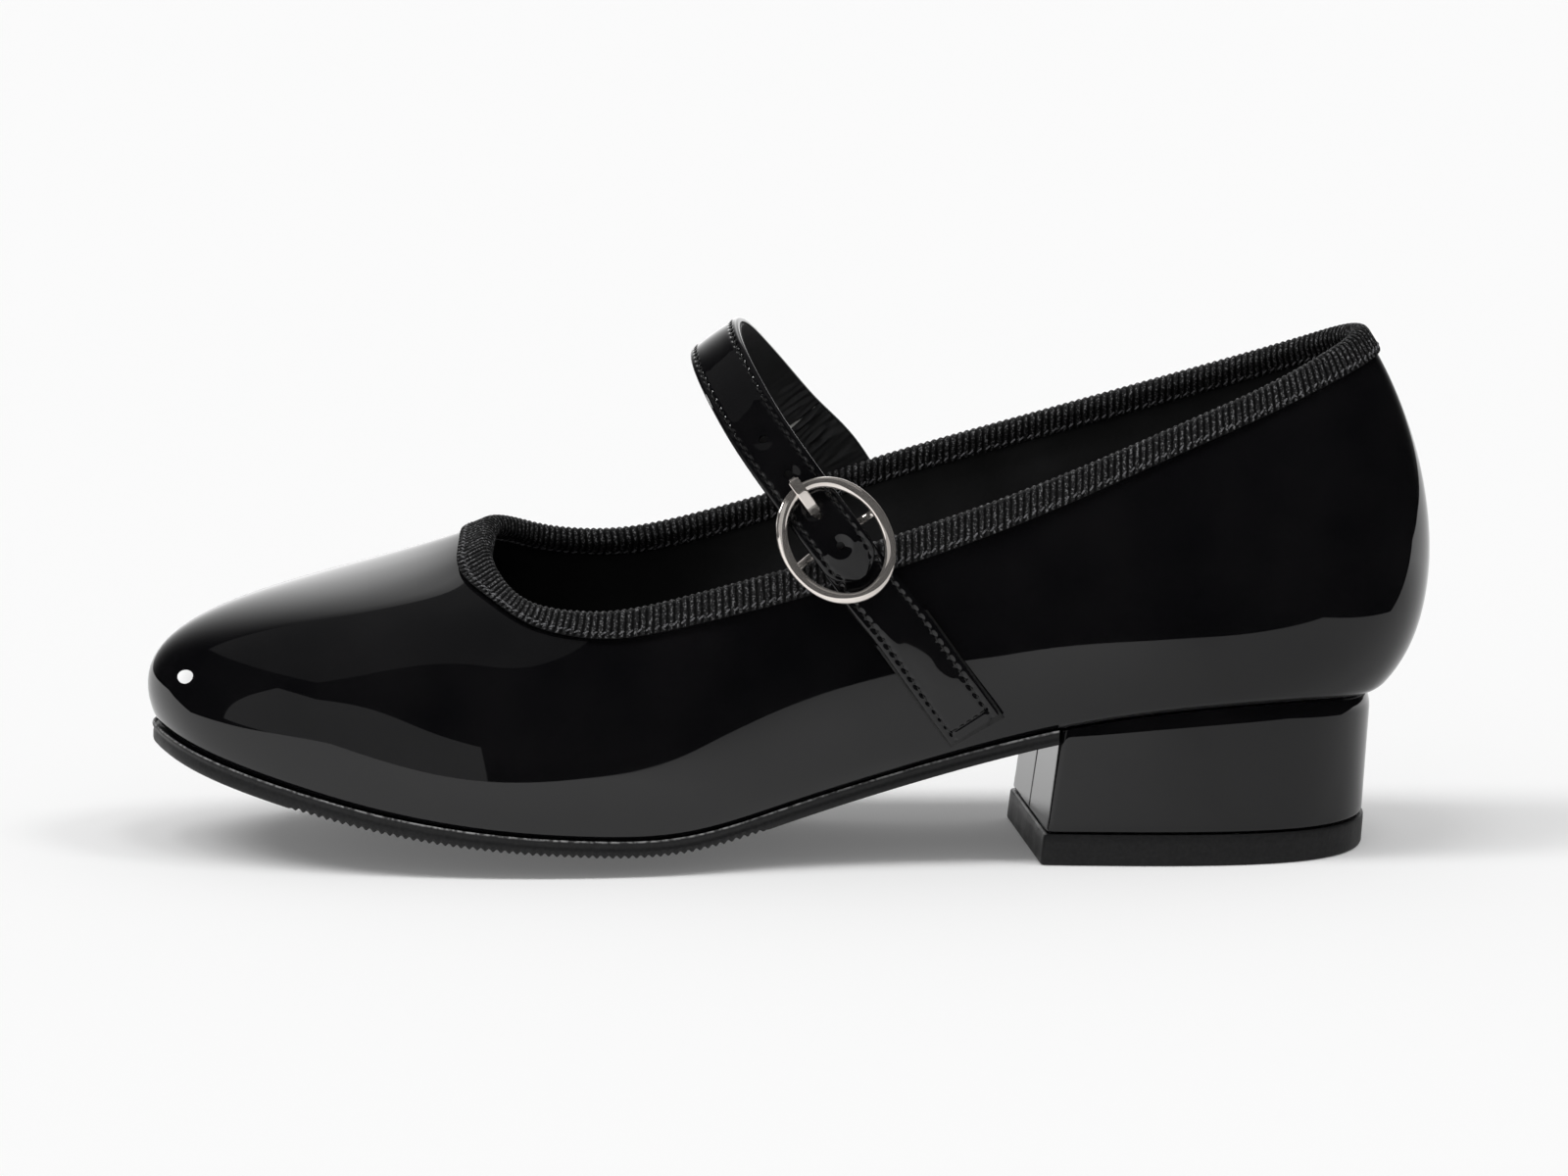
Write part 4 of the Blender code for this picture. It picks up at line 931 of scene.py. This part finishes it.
def smooth_path(rows, step, spread):
    """Even path through rows of place and direction out, its bends eased over spread millimetres."""
    rough = open_spline(rows, np.linspace(0, 1, 4000))
    run = run_along(rough[:, :3])
    count = int(run[-1] / step) + 1
    even = np.stack([np.interp(np.linspace(0, run[-1], count), run, rough[:, k]) for k in range(6)], 1)
    reach = int(4 * spread / step)
    offsets = np.arange(-reach, reach + 1)
    kernel = np.exp(-((offsets * step / spread) ** 2) / 2)
    padded = np.concatenate([
        2 * even[:1] - even[reach:0:-1], even, 2 * even[-1:] - even[-2:-reach - 2:-1],
    ])
    eased = np.stack([np.convolve(padded[:, k], kernel / kernel.sum(), "valid") for k in range(6)], 1)
    return eased


def path_frames(path):
    """Run, place, along, side and direction out of each row of a path."""
    places = path[:, :3]
    along = unit(np.gradient(places, axis=0))
    normals = unit(path[:, 3:] - along * (path[:, 3:] * along).sum(1)[:, None])
    run = run_along(places)
    return run, places, along, np.cross(along, normals), normals


def strap_sections(frames, section, height=None, tip=0.0):
    """Closed sections along a strap; section is (aside, rise) points, height adds to the upper ones."""
    run, places, _, side, normals = frames
    left = np.clip((run[-1] - run) / tip, 0.02, 1) if tip else np.ones(len(run))
    narrow = np.sqrt(1 - (1 - left) ** 2)[:, None]
    aside, rise = section[:, 0][None, :] * narrow, section[:, 1][None, :] + 0 * narrow
    if height is not None:
        rise = rise + height(run[:, None] + 0 * aside, section[:, 0][None, :] + 0 * aside)
    return (
        places[:, None] + aside[..., None] * side[:, None] + rise[..., None] * normals[:, None]
    )


def strap_outline(wide, high, low, top_points=63, radius=0.6):
    """Section with a flat top and round edges: (aside, rise), once round."""
    half = wide / 2
    top = [(a, high) for a in np.linspace(-half + radius, half - radius, top_points)]
    corner = [
        (half - radius + radius * math.sin(a), high - radius + radius * math.cos(a))
        for a in np.radians((22, 45, 68, 90))
    ]
    foot_asides = [half - 0.12, *np.linspace(half - 1, -half + 1, 7), -half + 0.12]
    foot = [(a, low) for a in foot_asides]
    other = [(-a, r) for a, r in corner[::-1]]
    return np.array(top + corner + foot + other)


STITCH_PITCH, STITCH_ASIDE, GROOVE_DEEP, GROOVE_WIDE = 1.9, 3.95, 0.38, 0.34


def patent_face(run, aside, top, holes=()):
    """Rise of a patent ply's face where top is 1: crown, furrows puckered at stitches, dents at holes."""
    crown = 0.14 * (1 - (aside / (STRAP_WIDE / 2)) ** 2)
    furrow = np.exp(-(((np.abs(aside) - STITCH_ASIDE) / GROOVE_WIDE) ** 2))
    pucker = 0.5 + 0.5 * np.cos(2 * np.pi * run / STITCH_PITCH)
    wave = 0.05 * np.sin(run / 3.1) * np.exp(-((np.abs(aside) - STITCH_ASIDE + 1) ** 2))
    rise = crown - GROOVE_DEEP * furrow * pucker + wave
    for at in holes:
        away = np.hypot(run - at, aside)
        rise = rise - 0.35 * np.exp(-((away / 1.9) ** 2)) + 0.1 * np.exp(-(((away - 2.4) / 0.7) ** 2))
    return rise * top


def drill(pieces, cutter):
    """Cuts the cutter's shape out of the pieces and removes it."""
    for piece in pieces:
        cut_or_join(piece, cutter, "DIFFERENCE")
    bpy.data.objects.remove(cutter)


def bar_cutter(name, bars):
    """Cutter of oval bars: (middle, axis, half length, direction of the width, half width, half breadth)."""
    places, faces = [], []
    for centre, axis, reach, first, wide, across in bars:
        start = len(places)
        second = np.cross(axis, first)
        for end in (-reach, reach):
            places += [centre + end * axis + wide * math.cos(a) * first + across * math.sin(a) * second
                       for a in round_angles(ROUND_POINTS)]
        faces += capped_faces(2, ROUND_POINTS, start)
    mesh = new_mesh(name, places, faces)
    face_outwards(mesh)
    return add_object(name, mesh)


def instep_rows():
    anchor = [on_wall(x, z, out, inner=True) for x, z, out in (
        (33.2, 30.2, 1.3), (30.2, 35.0, 1.3), (25.8, 42.0, 1.3), (20.8, 50.0, 1.5), (16.6, 57.0, 2.1),
        (13.4, 62.0, 2.2))]
    x, z = HINGE_INNER
    start_x, start_z = x + HINGE_SPLIT * UP_STRAP[0], z + HINGE_SPLIT * UP_STRAP[2]
    crossing = on_wall(start_x, start_z, 2.2, inner=True)
    tail = [in_buckle(up, out) for up, out in (
        (15.5, 2.9), (11.5, 3.3), (8.6, 3.8), (5.6, 5.1), (2.6, 6.3), (-0.2, 6.6), (-3.8, 5.7),
        (-8.0, 4.4))]
    return anchor + [crossing] + arch_rows()[::-1] + tail


def across_hinge(piece):
    """Bakes the piece's placing into its mesh; nothing here bends or splits the strap where it crosses the
    inner top line.
    """
    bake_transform(piece)


def make_instep_strap():
    path = smooth_path(instep_rows(), 0.3, 1.5)
    frames = path_frames(path)
    run, places = frames[0], frames[1]
    prong_at = run[np.argmin(np.linalg.norm(places - at_buckle(PRONG_HOLE_UP, 4.7), axis=1))]
    holes = [prong_at + HOLE_PITCH * (1 - index) for index in range(4)]
    outline = strap_outline(STRAP_WIDE, 0.95, -0.28)
    on_top = np.clip((outline[:, 1] - 0.2) / 0.5, 0, 1)[None, :]

    def face(run, aside):
        return patent_face(run, aside, on_top, holes)

    patent = sweep("patent_instep_strap", strap_sections(frames, outline, face, tip=STRAP_TIP),
                   "strap_patent", body=None)
    tape_outline = strap_outline(8.2, -0.3, -0.5, 5, 0.08)
    tape = sweep("strap_tape", strap_sections(frames, tape_outline, tip=STRAP_TIP), "foam", body=None)
    lining_outline = strap_outline(STRAP_WIDE - 0.7, -0.95, -0.32, 31, -0.2)

    def creases(run, aside):
        near = np.exp(-(((run - run_hinge - 9) / 8) ** 2))
        fold = np.array([[noise.noise(Vector((r / CREASE_ALONG, a / CREASE_ACROSS, 7.0)))
                          for r, a in zip(rr, aa)] for rr, aa in zip(run, aside)])
        return -CREASE_HIGH * near * fold * outline_low[None, :]

    run_hinge = run[np.argmin(np.linalg.norm(places - HINGE_AT, axis=1))]
    outline_low = np.clip((-0.6 - lining_outline[:, 1]) / 0.3, 0, 1)
    lining = sweep("strap_lining_leather", strap_sections(frames, lining_outline, creases, tip=STRAP_TIP),
                   "lining_leather", body=None)
    bars = []
    for index, at in enumerate(holes):
        row = np.argmin(np.abs(run - at))
        used = index == 1
        long = 2.4 if used else HOLE_RADIUS
        bars.append((places[row], frames[4][row], 5.0, frames[2][row], long, HOLE_RADIUS + 0.15 * used))
    drill([patent, tape], bar_cutter("strap_punch", bars))
    drill([lining], bar_cutter("lining_punch", bars[1:2]))
    for piece in (patent, tape, lining):
        across_hinge(piece)
    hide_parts("instep_strap", "strap_anchor")
    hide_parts("strap_reinforcement")
    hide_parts("strap_lining", "strap_anchor_lining")
    inside = run[-1] - 3.2
    for side_name, aside in (("front", STITCH_ASIDE), ("rear", -STITCH_ASIDE)):
        strap_stitches(f"strap_stitches_{side_name}", frames, aside, 1.5, inside, 0.95, across=True)


def strap_stitches(name, frames, aside, start, stop, high, across=False):
    run, places, along, side, normals = frames
    at = np.arange(math.ceil(start / STITCH_PITCH) + 0.5, stop / STITCH_PITCH) * STITCH_PITCH
    rows = [np.stack([np.interp(at, run, field[:, k]) for k in range(3)], 1)
            for field in (places, along, side, normals)]
    centres = rows[0] + aside * rows[2] + (high - 0.06) * rows[3]
    piece = stitches(name, centres, rows[1], rows[3], 1.35, "strap_patent", body=None if across else "shoe")
    if across:
        across_hinge(piece)


def make_buckle_strap():
    rows = [on_wall(x, z, out) for x, z, out in (
        (34.3, 26.6, 1.75), (30.2, 32.2, 1.75), (25.6, 38.6, 1.75), (21.0, 45.0, 2.2))]
    flat = [in_buckle(-12.0, 2.7), in_buckle(*LOOP_FOOT), in_buckle(-3.4, 3.9)]
    loop_radius = BAR_RADIUS + 0.55
    turn = []
    for angle in np.radians(np.arange(125, -91, -36)):
        normal = math.cos(angle) * BUCKLE_UP + math.sin(angle) * BUCKLE_OUT
        turn.append([*(at_buckle(0, BAR_OUT) + loop_radius * normal), *normal])
    back = [[*at_buckle(up, out), *(-BUCKLE_OUT)] for up, out in ((-3.2, 1.75), (-8.0, 1.55))]
    path = smooth_path(rows + flat + turn + back, 0.2, 0.45)
    frames = path_frames(path)
    outline = strap_outline(STRAP_WIDE, 0.35, -0.35, 63, 0.34)
    on_top = np.clip((outline[:, 1] + 0.1) / 0.3, 0, 1)[None, :]
    fold = frames[0][np.argmin(np.linalg.norm(frames[1] - at_buckle(*LOOP_FOOT), axis=1))]

    def face(run, aside):
        end = 0.24 * np.exp(-(((run - 2.0) / 0.3) ** 2)) * (np.abs(aside) < STITCH_ASIDE + 0.2)
        calm = np.clip((fold + 3 - run) / 4, 0, 1)
        return (patent_face(run, aside, on_top) - end * on_top) * calm

    patent = sweep("patent_buckle_strap", strap_sections(frames, outline, face), "strap_patent")
    slot = bar_cutter("prong_slot", [(at_buckle(-0.3, 3.3), BUCKLE_OUT, 2.7, BUCKLE_UP, 2.9, 1.7)])
    drill([patent], slot)
    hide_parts("buckle_strap")
    for side_name, aside in (("front", STITCH_ASIDE), ("rear", -STITCH_ASIDE)):
        strap_stitches(f"buckle_strap_stitches_{side_name}", frames, aside, 1.5, fold - 1, 0.35)
    run, places, _, side, normals = frames
    row = np.argmin(np.abs(run - 2.0))
    asides = np.arange(-3.0, 3.1, 1.5)
    centres = places[row] + asides[:, None] * side[row] + 0.3 * normals[row]
    ones = np.ones((len(asides), 1))
    stitches("buckle_strap_stitches_end", centres, ones * side[row], ones * normals[row], 1.2,
             "strap_patent")
    # The lining sticks out 0.45 mm to each side of the strap and past its lower end, in the near-black look:
    # painted shade along the strap's edges and end.
    below_end = [on_wall(34.9, 25.7, 1.75)]
    lining_and_shade_rim_path = path_frames(smooth_path(below_end + rows, 0.4, 0.5))
    lining_outline = strap_outline(STRAP_WIDE + 0.9, -0.45, -1.3, 9, 0.2)
    lining = sweep("buckle_strap_lining_and_painted_shade_rim", strap_sections(lining_and_shade_rim_path, lining_outline),
                   "lining_leather", look=SHADE_RIM_LOOK)
    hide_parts("buckle_strap_lining")


# Buckle

def round_wire(path, side_hint, radius, closed, flat=1.0, twist=0.0):
    """Round sections along a path; flat narrows them one way, and twist then turns each one."""
    if closed:
        along = unit(np.roll(path, -1, 0) - np.roll(path, 1, 0))
    else:
        along = unit(np.gradient(path, axis=0))
    second = unit(np.cross(along, side_hint))
    first = np.cross(second, along)
    turned = np.broadcast_to(twist, (len(path),))[:, None]
    first, second = (
        np.cos(turned) * first + np.sin(turned) * second, np.cos(turned) * second - np.sin(turned) * first)
    return np.stack([
        path + radius * (flat * math.cos(a) * first + math.sin(a) * second)
        for a in round_angles(ROUND_POINTS)
    ], 1)


def make_buckle():
    turns = round_angles(180)
    long, wide = RING_LONG / 2 - RING_WIRE, RING_WIDE / 2 - RING_WIRE
    ring = np.array([
        at_buckle(long * math.cos(a), RING_OUT + RING_DIP * math.cos(2 * a), wide * math.sin(a))
        for a in turns
    ])
    wire = round_wire(ring, BUCKLE_OUT, RING_WIRE * 1.05, True, 0.72, RING_TWIST * np.sin(3 * turns + 0.6))
    frame_ring = hoop("nickel_ring", wire, "nickel", body="buckle")
    rise = RING_OUT - RING_DIP
    bar_rows = [[*at_buckle(0, out, side), *BUCKLE_OUT] for side, out in (
        (-wide, rise), (-wide + 1.4, rise - 0.7), (-wide + 3.0, BAR_OUT), (-3.5, BAR_OUT), (0, BAR_OUT),
        (3.5, BAR_OUT), (wide - 3.0, BAR_OUT), (wide - 1.4, rise - 0.7), (wide, rise))]
    bar = sweep("bar", round_wire(smooth_path(bar_rows, 0.25, 0.5)[:, :3], BUCKLE_UP, BAR_RADIUS, False),
                "nickel", body="buckle")
    cut_or_join(frame_ring, bar, "UNION")
    bpy.data.objects.remove(bar)
    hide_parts("buckle_frame")


def make_prong():
    eye_radius = BAR_RADIUS + 0.15 + 0.35
    eye = []
    for angle in np.radians(np.arange(-315, -44, 30)):
        normal = math.cos(angle) * BUCKLE_UP + math.sin(angle) * BUCKLE_OUT
        eye.append([*(at_buckle(0, BAR_OUT) + eye_radius * normal), *normal])
    shaft = open_spline([
        [*at_buckle(up, out), *BUCKLE_OUT] for up, out in (
            (1.9, 3.9), (4.2, 4.15), (6.4, 5.3), (8.9, 7.2), (11.3, 8.05), (14.0, 7.9))
    ], np.linspace(0, 1, 40))
    path = smooth_path(np.concatenate([shaft[::-1], eye]), 0.15, 0.25)
    outline = strap_outline(2.1, 0.42, -0.42, 7, 0.2)
    frames = path_frames(path)
    sections = strap_sections(frames, outline)
    tip = np.clip(frames[0] / 0.5, 0.55, 1)[:, None, None]
    sections = frames[1][:, None] + (sections - frames[1][:, None]) * tip
    prong = sweep("nickel_prong", sections, "nickel", body="prong", sharp=30)
    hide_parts("buckle_prong")


def dress_hidden_nodes():
    """Procedural materials on the CAD pieces inside the shoe."""
    for entry in frame["record"]["subparts"]:
        mesh = frame["nodes"][entry["node"]].data
        mesh.materials.clear()
        mesh.materials.append(LOOKS[entry["material_slot"]])


# Studio

def sheet_at(name, corners, look, **seen_by):
    """Flat sheet of the studio; seen_by says which kinds of ray see it."""
    mesh = bpy.data.meshes.new(name)
    mesh.from_pydata([tuple(c) for c in corners], [], [tuple(range(len(corners)))])
    mesh.materials.append(look)
    made = add_object(name, mesh)
    for kind, seen in seen_by.items():
        setattr(made, "visible_" + kind, seen)
    return made


def glow(name, strength):
    made = bpy.data.materials.new(name)
    made.use_nodes = True
    tree = made.node_tree
    tree.nodes.clear()
    out = tree.nodes.new("ShaderNodeOutputMaterial")
    light = tree.nodes.new("ShaderNodeEmission")
    light.inputs["Strength"].default_value = strength
    tree.links.new(light.outputs["Emission"], out.inputs["Surface"])
    return made, tree, light


def split_coords(tree):
    coords = tree.nodes.new("ShaderNodeTexCoord")
    split = tree.nodes.new("ShaderNodeSeparateXYZ")
    tree.links.new(coords.outputs["Object"], split.inputs["Vector"])
    return split


def fading_glow(name, strength, wide, high_from, high_to):
    """Glow that fades to both sides of the middle over wide metres, and from one height to another."""
    made, tree, light = glow(name, strength)
    split = split_coords(tree)
    aside = maths(tree, "DIVIDE", maths(tree, "ABSOLUTE", split.outputs["X"], 0.0), wide)
    across = maths(tree, "EXPONENT", maths(tree, "MULTIPLY", maths(tree, "POWER", aside, 1.3), -1.0), 0.0)
    up = remap(tree, split.outputs["Z"], 1.0, 0.08, high_from, high_to)
    bright = maths(tree, "MULTIPLY", maths(tree, "MULTIPLY", across, up), strength)
    tree.links.new(bright, light.inputs["Strength"])
    return made


def seen_from(place, azimuth, elevation, far):
    """A point this far from place; azimuth 0 is towards -Y and grows towards +X, in degrees."""
    a, e = math.radians(azimuth), math.radians(elevation)
    return place + far * Vector((math.sin(a) * math.cos(e), -math.cos(a) * math.cos(e), math.sin(e)))


ONLY_MIRRORED = {"camera": False, "diffuse": False, "shadow": False}
BOARD_FRONT, BOARD_LEFT, BOARD_RIGHT = -0.25, -0.26, 0.28
FLOOR_FAR, FLOOR_ALBEDO, DIM_ALBEDO, FLOOR_GLOW, MIRRORED_LIFT = 6.0, 0.8, 0.46, 0.12, 1e-4


def floor_look(name, right_albedo):
    """Matt white; the albedo falls to right_albedo beside the heel, and is full again behind the shoe."""
    look, tree, shader = shader_material(name, (FLOOR_ALBEDO,) * 3, 0.9)
    shader.inputs["Specular IOR Level"].default_value = 0.0
    split = split_coords(tree)
    beside = remap(tree, split.outputs["X"], FLOOR_ALBEDO, right_albedo, 0.0, 0.09)
    behind = remap(tree, split.outputs["Y"], right_albedo, FLOOR_ALBEDO, 0.05, 0.25)
    albedo = maths(tree, "MAXIMUM", beside, behind)
    fleck = remap(tree, add_noise(tree, 3), 1.0, 1.002)
    tree.links.new(maths(tree, "MULTIPLY", albedo, fleck), shader.inputs["Base Color"])
    shader.inputs["Emission Color"].default_value = (1, 1, 1, 1)
    shader.inputs["Emission Strength"].default_value = FLOOR_GLOW
    return look


def make_floor():
    """Pale floor; the patent mirrors only a white board under the shoe, as it does in the photograph."""
    far = FLOOR_FAR
    left = [(BOARD_LEFT, BOARD_FRONT), (BOARD_LEFT, 0.0), (-1.5, 0.7), (-far, far)]
    right = [(BOARD_RIGHT, BOARD_FRONT), (BOARD_RIGHT, 0.0), (1.5, 0.7), (far, far)]
    board = [(x, y, MIRRORED_LIFT) for x, y in left[::-1] + right]
    sheet_at("board", board, floor_look("white_board", DIM_ALBEDO), **ONLY_MIRRORED)
    floor = [(-far, -far, 0.0), (far, -far, 0.0), (far, far, 0.0), (-far, far, 0.0)]
    sheet_at("floor", floor, floor_look("pale_floor", FLOOR_ALBEDO), glossy=False)


KEY_ASIDE = (-0.9, -0.55, -0.2, 0.2, 0.7)
KEY_FORWARD, KEY_STRENGTH, KEY_ANGLE = -0.25, 2.05, math.radians(16)
BACK_GLOW, CEILING_GLOW, CARD_GLOW, LAMP_GLOW, WORLD_GREY = 2.25, 0.11, 0.36, 14.0, 0.4
CARD_CORNERS, CARD_FAR = [(-75, -5), (-62, 32), (-45, 24), (-20, 16), (-6, 12), (-6, -10)], 0.6
LAMP_AZIMUTH, LAMP_ELEVATION, LAMP_FAR, LAMP_RADIUS = -106, 18, 0.9, 0.11
TOE_AT, TOE_LAMP_AT = Vector((-0.085, -0.033, 0.025)), Vector((-0.111, -0.014, 0.034))


def make_studio():
    make_floor()
    sheet_at("back_panel", [(-3, 2.1, 0), (3, 2.1, 0), (3, 2.1, 4), (-3, 2.1, 4)],
             fading_glow("back_glow", BACK_GLOW, 0.62, 2.5, 3.6), **ONLY_MIRRORED)
    sheet_at("ceiling", [(-2, -1.5, 2), (2, -1.5, 2), (2, 1.4, 2), (-2, 1.4, 2)],
             glow("ceiling_glow", CEILING_GLOW)[0], **ONLY_MIRRORED)
    sheet_at("side_card", [seen_from(TOE_AT, a, e, CARD_FAR) for a, e in CARD_CORNERS],
             glow("card_glow", CARD_GLOW)[0], **ONLY_MIRRORED)
    spot = seen_from(TOE_LAMP_AT, LAMP_AZIMUTH, LAMP_ELEVATION, LAMP_FAR)
    aim = (TOE_LAMP_AT - spot).normalized()
    side = aim.cross(Vector((0, 0, 1))).normalized()
    up = side.cross(aim)
    turns = [2 * math.pi * i / 24 for i in range(24)]
    sheet_at("toe_lamp", [spot + LAMP_RADIUS * (math.cos(t) * side + math.sin(t) * up) for t in turns],
             glow("lamp_glow", LAMP_GLOW)[0], **ONLY_MIRRORED)
    for index, aside in enumerate(KEY_ASIDE):
        toward = Vector((aside, KEY_FORWARD, 1.0))
        key = bpy.data.lights.new(f"key_{index}", "SUN")
        key.angle = KEY_ANGLE
        key.energy = KEY_STRENGTH / len(KEY_ASIDE) * toward.length
        holder = add_object(f"key_{index}", key)
        holder.rotation_euler = (-toward).to_track_quat("-Z", "Y").to_euler()
        holder.visible_glossy = False
    world = bpy.data.worlds.new("studio")
    world.use_nodes = True
    world.node_tree.nodes["Background"].inputs["Color"].default_value = (*(WORLD_GREY,) * 3, 1)
    world.cycles_visibility.glossy = False
    bpy.context.scene.world = world
    bpy.context.scene.view_settings.view_transform = "Standard"


FOCAL_MM, CAMERA_FAR = 185.6, 1.5
CAMERA_TURN, CAMERA_UP = math.radians(0.5), math.radians(9.3)
CAMERA_AIM = Vector((-0.0010, 0.0, 0.0476))


def make_camera():
    data = bpy.data.cameras.new("camera")
    data.lens, data.sensor_width = FOCAL_MM, 36.0
    data.clip_start, data.clip_end = 0.01, 50.0
    camera = add_object("camera", data)
    forward = Vector((
        math.sin(CAMERA_TURN) * math.cos(CAMERA_UP), math.cos(CAMERA_TURN) * math.cos(CAMERA_UP),
        -math.sin(CAMERA_UP),
    ))
    camera.location = CAMERA_AIM - CAMERA_FAR * forward
    camera.rotation_euler = forward.to_track_quat("-Z", "Y").to_euler()
    bpy.context.scene.camera = camera


dress_hidden_nodes()
make_upper()
make_lining()
make_binding()
make_outsole()
make_sock()
make_heel()
make_instep_strap()
make_buckle_strap()
make_buckle()
make_prong()
make_studio()
make_camera()
bpy.context.view_layer.update()
